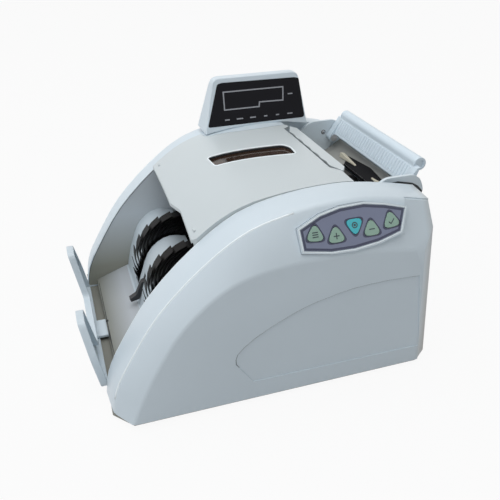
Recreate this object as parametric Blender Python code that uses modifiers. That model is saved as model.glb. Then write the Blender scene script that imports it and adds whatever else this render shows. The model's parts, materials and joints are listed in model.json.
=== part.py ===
"""Desktop banknote counter, built piece by piece in metres with +Z up.

The body frame has X = 0 at the front foot of the housing (the output tray end) and runs to the hopper end,
Y = 0 on the middle plane with the keypad on the -Y side, and Z = 0 at the underside of the base pan.
At the end an empty moves the assembly so that the origin is at the middle of its footprint.
"""
import math

import bmesh
import bpy
from mathutils import Matrix, Vector

# Housing
BODY_LENGTH = 0.304
BODY_HEIGHT = 0.176
BODY_WIDTH = 0.285
BAY_WIDTH = 0.184
EDGE_SPACING = 0.2432
EDGE_DROP = 0.0025
REAR_LEAN = 0.011
REAR_TOP_HEIGHT = 0.1635
CORNER_DEPTH = 0.0105
CORNER_LENGTH = 0.0135
FACET_STEP = 0.0012
WALL = 0.0028
GAP = 0.0003
FIT = 0.0005
OVERRUN = 0.004
EDGE_ROUND = 0.003
FOOT_HEIGHT = 0.0028
FOOT_RADIUS = 0.009
PAN_THICKNESS = 0.002
PAN_MARGIN = 0.002

# Top arch and shoulder line of a side cover, as shares of the body length and height, front foot to rear
ARCH_SHARES = [(0, 0), (0.016, 0.148), (0.059, 0.295), (0.155, 0.545), (0.286, 0.767), (0.418, 0.920),
               (0.569, 0.986), (0.707, 1), (0.79, 0.988), (0.882, 0.960), (0.964, 0.929)]
SHOULDER_SHARES = [(0.053, 0), (0.092, 0.153), (0.145, 0.330), (0.217, 0.514), (0.322, 0.668), (0.421, 0.733),
                   (0.533, 0.756), (0.658, 0.757), (0.753, 0.749), (0.822, 0.733), (0.885, 0.716)]
FACET_SHARES = [(0.956, 0), (0.928, 0.568), (0.880, 0.776), (0.872, 0.881), (0.885, 0.96)]
SWOOSH_SHARES = [(0.357, 0.248), (0.362, 0.307), (0.414, 0.385), (0.487, 0.453), (0.560, 0.507),
                 (0.635, 0.540), (0.711, 0.563), (0.816, 0.570), (0.918, 0.562), (0.950, 0.110), (0.408, 0.118)]
SWOOSH_DEPTH = 0.0009
SPAN_STEPS = 3

# Frame plates, rods and bushes
PLATE_THICKNESS = 0.002
PLATE_MARGIN = 0.0014
PLATE_SHARES = [(0.290, 0.045), (0.290, 0.42), (0.345, 0.455), (0.366, 0.48), (0.366, 0.62), (0.43, 0.80),
                (0.56, 0.87), (0.74, 0.87), (0.77, 0.60), (0.965, 0.71), (0.955, 0.045)]
POD_WINDOW_SHARES = [(0.296, 0.030), (0.296, 0.43), (0.345, 0.46), (0.37, 0.50), (0.37, 0.64), (0.44, 0.82),
                     (0.56, 0.88), (0.75, 0.88), (0.77, 0.63), (0.955, 0.745), (0.955, 0.030)]
ROD_RADIUS = 0.003
ROD_SHARES = [(0.53, 0.10), (0.925, 0.30)]
COLLAR_RADIUS = 0.0052
COLLAR_HEIGHT = 0.0010
SHAFT_RADIUS = 0.003
BORE_GAP = 0.0003

# Output tray, stacker guide and note stop
FLOOR_START = 0.012
FLOOR_START_HEIGHT = 0.011
FLOOR_END = 0.047
FLOOR_END_HEIGHT = 0.0237
SHEET = 0.002
GUIDE_SHARES = [(0.161, 0.142), (0.174, 0.239), (0.187, 0.307), (0.210, 0.409), (0.247, 0.477),
                (0.293, 0.506), (0.345, 0.489)]
GUIDE_SLOT_WIDTH = 0.019
GUIDE_SLOT_FOOT = 0.033
SENSOR_ARM_WIDTH = 0.007
SENSOR_ARM_OFFSET = 0.009
SENSOR_ARM_SHARES = [(0.128, 0.180), (0.132, 0.160), (0.161, 0.171), (0.186, 0.262), (0.196, 0.270),
                     (0.193, 0.292), (0.174, 0.283), (0.152, 0.203)]
STOP_FRONT = -0.0031
STOP_LEAN = 0.178
STOP_THICKNESS = 0.0066
STOP_HEIGHT = 0.0695
STOP_BAR_HEIGHT = 0.0205
STOP_RIM = 0.0022
STOP_PANEL = 0.0024
STOP_HALF_WIDTH = 0.088
STOP_FOOT = 0.0026
EAR_TOP_OUTER = 0.075
EAR_TOP_INNER = 0.051
EAR_FOOT_INNER = 0.043
EAR_SHOULDER_HEIGHT = 0.036
STOP_TRAVEL = 0.020
TONGUE_WIDTH = 0.028
TONGUE_THICKNESS = 0.0026
TONGUE_HEIGHT = 0.0052
TONGUE_LENGTH = 0.054
TONGUE_SLOT_WIDTH = 0.0066
GUIDE_SCREW_X = 0.024
GUIDE_SCREW_RADIUS = 0.0029
GUIDE_SCREW_HEAD = 0.0052

# Stacker wheels
STACKER_X = 0.101
STACKER_Z = 0.057
FIN_COUNT = 24
FIN_RADIUS = 0.052
FIN_ROOT = 0.013
FIN_THICKNESS = 0.0012
FIN_SWEEP = 1.40
FIN_STEPS = 6
WHEEL_WIDTH = 0.013
WHEEL_SPACING = 0.066
DRUM_RADIUS = 0.0145
DRUM_PROUD = 0.0004
HUB_WIDTH = 0.017
HUB_RADIUS = 0.009

# Hopper
HOPPER_SLOPE = 0.62
HOPPER_REF_X = 0.2895
HOPPER_REF_Z = 0.137
HOPPER_FLOOR_START = 0.2385
HOPPER_FLOOR_END = 0.3053
HOPPER_FLOOR_SHEET = 0.0025
CHEEK_THICKNESS = 0.0034
CHEEK_HALF_SPACING = 0.0845
CHEEK_SHARES = [(0.796, 0.56), (0.796, 0.83), (0.846, 0.925), (0.872, 0.957), (0.888, 0.969), (0.975, 0.969),
                (0.998, 0.945), (1.010, 0.90), (1.014, 0.865), (0.985, 0.845), (0.95, 0.745)]
BAR_HEIGHT = 0.1752
BAR_FOOT = 0.113
BAR_REAR = 0.2412
BAR_FRONT = 0.2295
BAR_SKIN = 0.0026
BAR_HALF_LENGTH = 0.059
BAR_END_FLARE = 0.008
BAR_END_STEP = 0.0065
SCALLOPS = 5
SCALLOP_DEPTH = 0.0011
WEDGE_LENGTH = 0.034
WEDGE_INNER = 0.018
WEDGE_X = 0.2935
WEDGE_WIDTH = 0.007
WEDGE_HEIGHT = 0.0045
PICKUP_OPENING_START = 0.2655
PICKUP_OPENING_END = 0.2885
PICKUP_OPENING_HALF = 0.036
GRIP_RADIUS = 0.0062
GRIP_X = 0.3080
GRIP_Z = 0.1757
GRIP_HALF_LENGTH = 0.078
SUPPORT_PIVOT_X = 0.2925
SUPPORT_PIVOT_Z = 0.1530
SUPPORT_SHEET = 0.0026
SUPPORT_EAR_WIDTH = 0.0032
PIVOT_SCREW_RADIUS = 0.002
PIVOT_HEAD_RADIUS = 0.0038
PIVOT_HEAD_HEIGHT = 0.0016
RIB_COUNT = 26
RIB_HEIGHT = 0.0005

# Rollers and drive: axis heights follow the note path down the hopper slope
PICKUP_CONTACT_X = 0.277
PICKUP_RADIUS = 0.013
PICKUP_PROUD = 0.002
FEED_CONTACT_X = 0.216
FEED_RADIUS = 0.026
NIP_X = 0.170
NIP_RADIUS = 0.012
RETARD_RADIUS = 0.010
NIP_CLEARANCE = 0.0005
ROLLER_BORE_GAP = 0.0003
PULLEY_OFFSET = 0.100
PULLEY_WIDTH = 0.009
BELT_THICKNESS = 0.0014
BELT_WIDTH = 0.006
MOTOR_X = 0.262
MOTOR_Z = 0.034
MOTOR_RADIUS = 0.020
MOTOR_LENGTH = 0.050
MOTOR_PULLEY_RADIUS = 0.008
FEED_PULLEY_RADII = (0.018, 0.013, 0.018)
STACKER_PULLEY_RADIUS = 0.020
PICKUP_PULLEY_RADIUS = 0.0065
ENCODER_RADIUS = 0.015
ENCODER_SLOTS = 18

# Lid, window and display
LID_FRONT = 0.088
LID_REAR = 0.2262
LID_WING_REAR = 0.2345
LID_THICKNESS = 0.0024
LID_RAISE = 0.004
LID_CROWN = 0.004
LID_SKIRT = 0.006
LID_SIDE_GAP = 0.0007
LID_STEP = 0.0045
LID_HINGE_X = 0.0955
LID_HINGE_Z = 0.1335
LID_HINGE_Y = 0.079
LID_LUG_WIDTH = 0.005
LID_LUG_RADIUS = 0.0036
LID_PIN_RADIUS = 0.002
SLOT_OUTLINE_SHARES = [(0.434, 0.235), (0.440, -0.035), (0.690, -0.185), (0.694, 0.020), (0.678, 0.115)]
NOTCH_SHARES = [(0.470, 1.0), (0.4735, 0.90), (0.483, 0.855), (0.51, 0.832), (0.545, 0.80), (0.60, 0.755),
                (0.66, 0.735), (0.72, 0.755), (0.764, 0.79)]
GLASS_THICKNESS = 0.0015
GLASS_MARGIN = 0.004
DISPLAY_FRONT_Y = 0.0805
DISPLAY_FOOT_Z = 0.171
DISPLAY_LEAN = 0.268
DISPLAY_BACK_LEAN = 0.19
DISPLAY_DEPTH = 0.036
DISPLAY_TOP = 0.226
DISPLAY_SHARES = [(0.4786, 0.94), (0.5247, 1), (0.8388, 1), (0.8618, 0.94)]
DISPLAY_CORNER = 0.007
LENS_DEPTH = 0.0012
LENS_THICKNESS = 0.0012
LENS_SHARES = [(0.4918, 1.017), (0.5444, 1.256), (0.8355, 1.250), (0.8536, 1.014)]
MODULE_DEPTH = 0.010

# Keypad
KEYPAD_X = 0.2155
KEYPAD_Y = 0.1320
KEYPAD_Z = 0.1535
KEYPAD_LENGTH = 0.094
KEYPAD_HEIGHT = 0.036
KEYPAD_RIM = 0.0026
KEYPAD_PROUD = 0.0016
KEYPAD_POCKET = 0.0020
KEYPAD_BODY = 0.0062
PANEL_THICKNESS = 0.0012
KEY_PROUD = 0.0006
KEY_DEPTH = 0.0020
KEY_TRAVEL = 0.0008
KEY_SIZE = 0.0112
KEY_CORNER_SHARE = 0.32
KEY_PLACE_SHARES = [(-0.372, -0.055, 205), (-0.178, -0.16, 90), (0.006, 0.02, 270), (0.165, -0.135, 90),
                    (0.365, -0.02, 335)]

# Rear panel and electrics
REAR_BULGE = 0.0058
INLET_WIDTH = 0.028
INLET_HEIGHT = 0.021
INLET_DEPTH = 0.020
INLET_Y = 0.055
INLET_Z = 0.036
SWITCH_WIDTH = 0.020
SWITCH_HEIGHT = 0.014
SWITCH_DEPTH = 0.014
SWITCH_Y = 0.018
BOARD_THICKNESS = 0.0016

HALF_BAY = BAY_WIDTH / 2
HALF_EDGE = EDGE_SPACING / 2
HALF_BODY = BODY_WIDTH / 2
COVER_FOOT = PAN_THICKNESS + GAP
SLOPE_ANGLE = math.atan(HOPPER_SLOPE)
SLOPE_NORMAL = Vector((-math.sin(SLOPE_ANGLE), 0, math.cos(SLOPE_ANGLE)))

# Colours as (red, green, blue), roughness, metallic
FINISHES = {
    "housing": ((0.80, 0.83, 0.85), 0.45, 0.0),
    "lid": ((0.80, 0.81, 0.80), 0.45, 0.0),
    "grey_plastic": ((0.50, 0.53, 0.55), 0.5, 0.0),
    "cream_plastic": ((0.78, 0.74, 0.62), 0.5, 0.0),
    "black_plastic": ((0.03, 0.03, 0.035), 0.4, 0.0),
    "rubber": ((0.02, 0.02, 0.02), 0.8, 0.0),
    "steel": ((0.62, 0.63, 0.65), 0.3, 1.0),
    "brass": ((0.75, 0.58, 0.28), 0.35, 1.0),
    "smoky_glass": ((0.06, 0.035, 0.02), 0.1, 0.0),
    "display_glass": ((0.01, 0.01, 0.015), 0.08, 0.0),
    "keypad_blue": ((0.17, 0.19, 0.28), 0.4, 0.0),
    "key_green": ((0.27, 0.42, 0.35), 0.4, 0.0),
    "key_teal": ((0.05, 0.50, 0.58), 0.4, 0.0),
    "circuit": ((0.02, 0.17, 0.08), 0.5, 0.0),
    "copper": ((0.45, 0.20, 0.08), 0.4, 1.0),
}


def clear_scene():
    for item in list(bpy.data.objects):
        bpy.data.objects.remove(item, do_unlink=True)


def make_collection(name):
    group = bpy.data.collections.new(name)
    bpy.context.scene.collection.children.link(group)
    return group


def make_material(name):
    colour, roughness, metallic = FINISHES[name]
    material = bpy.data.materials.new(name)
    material.use_nodes = True
    shader = material.node_tree.nodes["Principled BSDF"]
    shader.inputs["Base Color"].default_value = (*colour, 1)
    shader.inputs["Roughness"].default_value = roughness
    shader.inputs["Metallic"].default_value = metallic
    return material


clear_scene()
PARTS = make_collection("banknote_counter")
CUTTERS = make_collection("cutters")
MATERIALS = {name: make_material(name) for name in FINISHES}


# Shared modelling helpers
def link_mesh(name, mesh, group=None):
    item = bpy.data.objects.new(name, mesh)
    (group or PARTS).objects.link(item)
    return item


def finish(item, name, material, pivot=None):
    """Name a finished piece, give it its material and set its origin on its axis."""
    item.name = name
    item.data.name = name
    item.data.materials.clear()
    item.data.materials.append(MATERIALS[material])
    if pivot is not None:
        item.data.transform(Matrix.Translation(-Vector(pivot)))
        item.location = Vector(pivot)
    return item


def baked(item):
    """Replace an object by the mesh that its modifiers and transform give."""
    bpy.context.view_layer.update()
    graph = bpy.context.evaluated_depsgraph_get()
    mesh = bpy.data.meshes.new_from_object(item.evaluated_get(graph))
    mesh.transform(item.matrix_world)
    work = bmesh.new()
    work.from_mesh(mesh)
    bmesh.ops.remove_doubles(work, verts=work.verts, dist=WELD)
    bmesh.ops.recalc_face_normals(work, faces=work.faces)
    work.to_mesh(mesh)
    work.free()
    result = link_mesh(item.name, mesh)
    bpy.data.objects.remove(item, do_unlink=True)
    return result


WELD = 0.00001
AXIS_FRAMES = {
    "Z": Matrix.Identity(4),
    "Y": Matrix.Rotation(math.pi / 2, 4, "X"),
    "X": Matrix.Rotation(math.pi / 2, 4, "Z") @ Matrix.Rotation(math.pi / 2, 4, "X"),
}


def extruded(name, outlines, low, high, axis="Y", frame=None):
    """A flat outline with its holes, given thickness along an axis.

    Outlines are (X, Z) for axis Y, (Y, Z) for axis X and (X, Y) for axis Z.
    """
    curve = bpy.data.curves.new(name, "CURVE")
    curve.dimensions = "2D"
    curve.fill_mode = "BOTH"
    curve.extrude = (high - low) / 2
    for outline in outlines:
        spline = curve.splines.new("POLY")
        spline.points.add(len(outline) - 1)
        for point, place in zip(spline.points, outline):
            point.co = (place[0], place[1], 0, 1)
        spline.use_cyclic_u = True
    item = bpy.data.objects.new(name, curve)
    PARTS.objects.link(item)
    middle = (low + high) / 2
    shift = {"X": (middle, 0, 0), "Y": (0, middle, 0), "Z": (0, 0, middle)}[axis]
    item.matrix_world = Matrix.Translation(shift) @ AXIS_FRAMES[axis]
    return framed(baked(item), frame)


def framed(item, frame):
    """Apply a frame to the mesh itself, so that a leaning frame keeps its lean."""
    if frame is not None:
        item.data.transform(frame)
    return item


def block(name, low, high):
    """A box between two corners."""
    work = bmesh.new()
    size = [b - a for a, b in zip(low, high)]
    centre = [(a + b) / 2 for a, b in zip(low, high)]
    place = Matrix.Translation(centre) @ Matrix.Diagonal((*size, 1))
    bmesh.ops.create_cube(work, size=1, matrix=place)
    mesh = bpy.data.meshes.new(name)
    work.to_mesh(mesh)
    work.free()
    return link_mesh(name, mesh)


def cylinder(name, radius, low, high, x, z, sides=20):
    """A round bar along Y between two side positions."""
    work = bmesh.new()
    place = Matrix.Translation((x, (low + high) / 2, z)) @ Matrix.Rotation(math.pi / 2, 4, "X")
    bmesh.ops.create_cone(work, cap_ends=True, segments=sides, radius1=radius, radius2=radius,
                          depth=high - low, matrix=place)
    mesh = bpy.data.meshes.new(name)
    work.to_mesh(mesh)
    work.free()
    smooth_round(mesh)
    return link_mesh(name, mesh)


def turned(name, profile, x, y, z, steps=24, frame=None):
    """A profile of (radius, side position) turned about an axis along Y; it runs down from the +Y end."""
    mesh = bpy.data.meshes.new(name)
    points = [(radius, 0, height) for radius, height in profile]
    mesh.from_pydata(points, [(i, i + 1) for i in range(len(points) - 1)], [])
    item = link_mesh(name, mesh)
    screw = item.modifiers.new("turn", "SCREW")
    screw.axis = "Z"
    screw.steps = steps
    screw.render_steps = steps
    screw.use_merge_vertices = True
    screw.merge_threshold = WELD
    item.matrix_world = Matrix.Translation((x, y, z)) @ Matrix.Rotation(-math.pi / 2, 4, "X")
    result = framed(baked(item), frame)
    smooth_round(result.data)
    return result


def smooth_round(mesh, angle=math.radians(35)):
    mesh.shade_smooth()
    mesh.set_sharp_from_angle(angle=angle)


def combine(target, tool, operation, solver="EXACT"):
    """Leave a Boolean modifier on the target and hide its tool among the cutters."""
    change = target.modifiers.new(tool.name, "BOOLEAN")
    change.operation = operation
    change.solver = solver
    change.object = tool
    for group in list(tool.users_collection):
        group.objects.unlink(tool)
    CUTTERS.objects.link(tool)
    tool.hide_render = True
    tool.display_type = "WIRE"
    return target


def cut(target, tool):
    return combine(target, tool, "DIFFERENCE")


def join(target, tool):
    return combine(target, tool, "UNION")


def keep(target, tool):
    return combine(target, tool, "INTERSECT")


def rounded(item, width, segments=2, angle=math.radians(30)):
    bevel = item.modifiers.new("edges", "BEVEL")
    bevel.width = width
    bevel.segments = segments
    bevel.limit_method = "ANGLE"
    bevel.angle_limit = angle
    return item


def circle(x, z, radius, sides=16):
    turn = 2 * math.pi / sides
    return [(x + radius * math.cos(i * turn), z + radius * math.sin(i * turn)) for i in range(sides)]


def smooth_line(points, steps=SPAN_STEPS):
    """Points along a smooth curve through the given ones."""
    ends = [2 * points[0] - points[1], *points, 2 * points[-1] - points[-2]]
    line = []
    for before, start, stop, after in zip(ends, ends[1:], ends[2:], ends[3:]):
        for step in range(steps):
            t = step / steps
            line.append((2 * start + (stop - before) * t + (2 * before - 5 * start + 4 * stop - after) * t * t
                         + (3 * start - before - 3 * stop + after) * t ** 3) / 2)
    line.append(points[-1])
    return line


def offset_line(points, distance):
    """The line moved sideways, to the right of its direction for a positive distance."""
    moved = []
    for index, point in enumerate(points):
        before = points[max(index - 1, 0)]
        after = points[min(index + 1, len(points) - 1)]
        along = (after - before).normalized()
        moved.append(point + Vector((along.y, -along.x)) * distance)
    return moved


def shaped(shares, width=BODY_LENGTH, height=BODY_HEIGHT):
    """Outline points from shares of a width and a height."""
    return [Vector((across * width, up * height)) for across, up in shares]


def grown(points, distance):
    """A closed outline moved outwards by a distance."""
    count = len(points)
    area = sum(points[i][0] * points[(i + 1) % count][1] - points[(i + 1) % count][0] * points[i][1]
               for i in range(count))
    sign = 1 if area > 0 else -1
    moved = []
    for index in range(count):
        here = Vector(points[index])
        first = (here - Vector(points[index - 1])).normalized()
        second = (Vector(points[(index + 1) % count]) - here).normalized()
        normal = Vector((first.y + second.y, -first.x - second.x)).normalized()
        scale = max(normal.dot(Vector((first.y, -first.x))), GROW_LIMIT_SHARE)
        moved.append(here + normal * (sign * distance / scale))
    return moved


GROW_LIMIT_SHARE = 0.5


def fillet(points, radius, steps=3):
    """A closed outline with each corner replaced by an arc."""
    result = []
    count = len(points)
    for index in range(count):
        corner = Vector(points[index])
        before = Vector(points[index - 1]) - corner
        after = Vector(points[(index + 1) % count]) - corner
        reach = min(radius, before.length / 2, after.length / 2)
        start = corner + before.normalized() * reach
        stop = corner + after.normalized() * reach
        for step in range(steps + 1):
            t = step / steps
            result.append(start * (1 - t) ** 2 + corner * (2 * t * (1 - t)) + stop * t * t)
    return result


ARCH = smooth_line(shaped(ARCH_SHARES))
SHOULDER = smooth_line(shaped(SHOULDER_SHARES))


def arch_height(x):
    """Height of the top band's inner edge at a place along the body."""
    for start, stop in zip(ARCH, ARCH[1:]):
        if start.x <= x <= stop.x:
            return start.y + (stop.y - start.y) * (x - start.x) / (stop.x - start.x)
    return ARCH[-1].y if x > ARCH[-1].x else 0


def slope_height(x):
    """Height of the hopper floor's upper face."""
    return HOPPER_REF_Z + HOPPER_SLOPE * (x - HOPPER_REF_X)


def beside_slope(x, distance):
    """A point at a distance above the hopper slope (negative for below), square to it."""
    return Vector((x, 0, slope_height(x))) + SLOPE_NORMAL * distance


PICKUP_AXIS = beside_slope(PICKUP_CONTACT_X, PICKUP_PROUD - PICKUP_RADIUS)
FEED_AXIS = beside_slope(FEED_CONTACT_X, -FEED_RADIUS)
RETARD_AXIS = beside_slope(FEED_CONTACT_X, RETARD_RADIUS + NIP_CLEARANCE)
EXIT_AXIS = beside_slope(NIP_X, -NIP_RADIUS)
PINCH_AXIS = beside_slope(NIP_X, NIP_RADIUS + NIP_CLEARANCE)
STACKER_AXIS = Vector((STACKER_X, 0, STACKER_Z))
MOTOR_AXIS = Vector((MOTOR_X, 0, MOTOR_Z))


# Side covers
def side_solid(name, side, inset):
    """The closed form of a side cover, drawn in by an inset, with its rear and corner cut planes."""
    depth = BODY_HEIGHT / 20
    reach = BODY_LENGTH * 1.1
    columns = []
    for y, line, drop in ((HALF_BAY + inset, ARCH, 0), (HALF_EDGE - inset / 2, ARCH, EDGE_DROP),
                          (HALF_BODY - inset, SHOULDER, 0)):
        moved = offset_line(line, inset + drop)
        first = moved[0] + (moved[0] - moved[1]) * (depth / (moved[1].y - moved[0].y))
        last_run = moved[-1] - moved[-2]
        rear = moved[-1] + last_run * ((reach - moved[-1].x) / last_run.x)
        points = [first, *moved, rear, Vector((reach, first.y))]
        columns.append([Vector((point.x, side * y, point.y)) for point in points])
    work = bmesh.new()
    rings = [[work.verts.new(point) for point in column] for column in columns]
    count = len(rings[0])
    for left, right in zip(rings, rings[1:]):
        for i in range(count):
            j = (i + 1) % count
            work.faces.new((left[i], left[j], right[j], right[i]))
    work.faces.new(rings[0])
    work.faces.new(rings[-1])
    bmesh.ops.recalc_face_normals(work, faces=work.faces)
    rear_normal = Vector((REAR_TOP_HEIGHT, 0, REAR_LEAN)).normalized()
    corner_normal = Vector((CORNER_DEPTH, side * CORNER_LENGTH, CORNER_DEPTH * REAR_LEAN / REAR_TOP_HEIGHT))
    corner_normal.normalize()
    rear_foot = Vector((BODY_LENGTH, 0, 0)) - rear_normal * inset
    corner_foot = Vector((BODY_LENGTH, side * (HALF_BODY - CORNER_DEPTH), 0)) - corner_normal * inset
    for place, normal in ((rear_foot, rear_normal), (corner_foot, corner_normal)):
        everything = [*work.verts, *work.edges, *work.faces]
        bmesh.ops.bisect_plane(work, geom=everything, plane_co=place, plane_no=normal, clear_outer=True)
        bmesh.ops.holes_fill(work, edges=[edge for edge in work.edges if edge.is_boundary], sides=0)
    bmesh.ops.recalc_face_normals(work, faces=work.faces)
    mesh = bpy.data.meshes.new(name)
    work.to_mesh(mesh)
    work.free()
    return link_mesh(name, mesh)


def weight_edges(item, inset):
    """Bevel weights: the highlight edge most, then the shoulder and rear corner, the bay edge least."""
    mesh = item.data
    layer = mesh.attributes.new("bevel_weight_edge", "FLOAT", "EDGE")
    levels = ((HALF_BAY + inset, BAY_EDGE_SHARE), (HALF_EDGE - inset / 2, 1), (HALF_BODY - inset, SIDE_EDGE_SHARE),
              (HALF_BODY - CORNER_DEPTH, SIDE_EDGE_SHARE))
    for edge in mesh.edges:
        first, second = (mesh.vertices[i].co for i in edge.vertices)
        for level, weight in levels:
            if abs(abs(first.y) - level) < WELD and abs(abs(second.y) - level) < WELD:
                layer.data[edge.index].value = weight


BAY_EDGE_SHARE = 0.25
SIDE_EDGE_SHARE = 0.8


def under_plane(item, height):
    """Remove what lies below a height."""
    work = bmesh.new()
    work.from_mesh(item.data)
    everything = [*work.verts, *work.edges, *work.faces]
    bmesh.ops.bisect_plane(work, geom=everything, plane_co=(0, 0, height), plane_no=(0, 0, -1), clear_outer=True)
    bmesh.ops.holes_fill(work, edges=[edge for edge in work.edges if edge.is_boundary], sides=0)
    bmesh.ops.recalc_face_normals(work, faces=work.faces)
    work.to_mesh(item.data)
    work.free()
    return item


def side_cover(label, side):
    outer = side_solid(label + "_outer", side, 0)
    weight_edges(outer, 0)
    bevel = outer.modifiers.new("edges", "BEVEL")
    bevel.width = EDGE_ROUND
    bevel.segments = 2
    bevel.limit_method = "WEIGHT"
    cover = under_plane(baked(outer), COVER_FOOT)
    facet = shaped(FACET_SHARES)
    facet = [Vector((facet[0].x, -OVERRUN)), *facet[1:], Vector((BODY_LENGTH + OVERRUN, facet[-1].y)),
             Vector((BODY_LENGTH + OVERRUN, -OVERRUN))]
    low, high = sorted((side * (HALF_EDGE - EDGE_DROP), side * (HALF_BODY + OVERRUN)))
    step = extruded(label + "_facet", [facet], low, high)
    cut(step, side_solid(label + "_facet_core", side, FACET_STEP))
    cut(cover, step)
    cut(cover, side_solid(label + "_inner", side, WALL))
    low, high = sorted((side * (HALF_BAY - OVERRUN), side * (HALF_BAY + WALL + OVERRUN)))
    cut(cover, extruded(label + "_pod_window", [shaped(POD_WINDOW_SHARES)], low, high))
    low, high = sorted((side * (HALF_BODY - SWOOSH_DEPTH), side * (HALF_BODY + OVERRUN)))
    swoosh = smooth_line(shaped(SWOOSH_SHARES[:9]), 2) + shaped(SWOOSH_SHARES[9:])
    cut(cover, extruded(label + "_swoosh", [swoosh], low, high))
    return cover


def make_base_pan():
    half = HALF_BODY - PAN_MARGIN
    nose = HALF_EDGE
    front = PAN_MARGIN
    side_front = SHOULDER[0].x + PAN_MARGIN
    rear = BODY_LENGTH - PAN_MARGIN
    outline = [(front, -nose), (side_front, -half), (rear - CORNER_LENGTH, -half), (rear, -half + CORNER_DEPTH),
               (rear, half - CORNER_DEPTH), (rear - CORNER_LENGTH, half), (side_front, half), (front, nose)]
    return finish(extruded("base_pan", [outline], 0, PAN_THICKNESS, "Z"), "base_pan", "grey_plastic")


def make_feet():
    inset = FOOT_RADIUS * 2
    taper = FOOT_RADIUS * 0.85
    profile = [(0, -GAP), (FOOT_RADIUS, -GAP), (taper, -FOOT_HEIGHT), (0, -FOOT_HEIGHT)]
    for x, end in ((SHOULDER[0].x + inset, "front"), (BODY_LENGTH - inset * 1.4, "rear")):
        for y, side in ((-HALF_BODY + inset, "near"), (HALF_BODY - inset, "far")):
            name = f"{side}_{end}_foot"
            upright = Matrix.Translation((x, y, 0)) @ Matrix.Rotation(math.pi / 2, 4, "X")
            finish(turned(name, profile, 0, 0, 0, 14, upright), name, "rubber")


# Frame plates with collars for the shafts, and tie rods
SHAFT_AXES = (PICKUP_AXIS, FEED_AXIS, EXIT_AXIS, PINCH_AXIS, STACKER_AXIS)
PLATE_OUTER = HALF_BAY - PLATE_MARGIN
PLATE_INNER = PLATE_OUTER - PLATE_THICKNESS


def make_frame_plates():
    bore = SHAFT_RADIUS + BORE_GAP
    for side, name in ((-1, "near_frame_plate"), (1, "far_frame_plate")):
        low, high = sorted((side * PLATE_INNER, side * PLATE_OUTER))
        plate = extruded(name, [shaped(PLATE_SHARES)], low, high)
        collar_low, collar_high = sorted((side * (PLATE_INNER + PLATE_THICKNESS / 2),
                                          side * (PLATE_OUTER + COLLAR_HEIGHT)))
        for axis in SHAFT_AXES:
            join(plate, cylinder("collar", COLLAR_RADIUS, collar_low, collar_high, axis.x, axis.z, 14))
        for axis in SHAFT_AXES:
            cut(plate, cylinder("bore", bore, low - OVERRUN, high + OVERRUN, axis.x, axis.z, 14))
        if side > 0:
            cut(plate, cylinder("motor_hole", MOTOR_PULLEY_RADIUS * 0.7, low - OVERRUN, high + OVERRUN,
                                MOTOR_X, MOTOR_Z))
        finish(plate, name, "steel")


def make_tie_rods():
    for name, place in zip(("front_tie_rod", "rear_tie_rod"), shaped(ROD_SHARES)):
        rod = cylinder(name, ROD_RADIUS, -PLATE_INNER + GAP, PLATE_INNER - GAP, place.x, place.y, 12)
        finish(rod, name, "steel")


# Output tray and stacker guide
def make_output_floor():
    top = [Vector((FLOOR_START, PAN_THICKNESS + GAP)), Vector((FLOOR_START, FLOOR_START_HEIGHT)),
           Vector((FLOOR_END, FLOOR_END_HEIGHT))]
    under = offset_line(top, SHEET)
    under[1] = Vector((FLOOR_START + SHEET, FLOOR_START_HEIGHT - SHEET * 0.75))
    under[0] = Vector((FLOOR_START + SHEET, PAN_THICKNESS + GAP))
    half = HALF_BAY - GAP
    floor = extruded("output_floor", [[*top, *reversed(under)]], -half, half)
    mouth = block("tongue_mouth", (0, -TONGUE_WIDTH / 2 - GAP, 0),
                  (FLOOR_START + OVERRUN, TONGUE_WIDTH / 2 + GAP, TONGUE_HEIGHT + TONGUE_THICKNESS + GAP))
    cut(floor, mouth)
    return finish(floor, "output_floor", "grey_plastic")


def make_stacker_guide():
    outer = smooth_line(shaped(GUIDE_SHARES), 2)
    inner = offset_line(outer, SHEET)
    half = HALF_BAY - GAP
    guide = extruded("stacker_guide", [[*outer, *reversed(inner)]], -half, half)
    for side in (-1, 1):
        middle = side * WHEEL_SPACING / 2
        cut(guide, block("wheel_slot", (0, middle - GUIDE_SLOT_WIDTH / 2, GUIDE_SLOT_FOOT),
                         (BODY_LENGTH, middle + GUIDE_SLOT_WIDTH / 2, BODY_HEIGHT)))
    arm = SENSOR_ARM_WIDTH / 2 + GAP
    cut(guide, block("arm_slot", (0, SENSOR_ARM_OFFSET - arm, GUIDE_SLOT_FOOT),
                     (STACKER_X, SENSOR_ARM_OFFSET + arm, STACKER_Z)))
    return finish(guide, "stacker_guide", "housing")


def make_sensor_arm():
    low = SENSOR_ARM_OFFSET - SENSOR_ARM_WIDTH / 2
    arm = extruded("tray_sensor_arm", [shaped(SENSOR_ARM_SHARES)], low, low + SENSOR_ARM_WIDTH)
    return finish(arm, "tray_sensor_arm", "black_plastic")


# Note stop: a leaning U-shaped moulding with a recessed inner face, on a sliding tongue
def stop_outline(margin):
    """The U outline in (Y, Z), drawn in by a margin."""
    half = [(STOP_HALF_WIDTH - margin, STOP_FOOT + margin),
            (STOP_HALF_WIDTH - margin, EAR_SHOULDER_HEIGHT),
            (EAR_TOP_OUTER - margin, STOP_HEIGHT - margin),
            (EAR_TOP_INNER + margin, STOP_HEIGHT - margin),
            (EAR_FOOT_INNER + margin, STOP_BAR_HEIGHT - margin)]
    mirrored = [(-y, z) for y, z in reversed(half)]
    return [*half, *mirrored]


def leaning(item, foot):
    """Shear a piece so that it leans towards -X as it rises."""
    shear = Matrix.Identity(4)
    shear[0][2] = -STOP_LEAN
    item.data.transform(Matrix.Translation((0, 0, foot)) @ shear @ Matrix.Translation((0, 0, -foot)))
    return item


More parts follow.
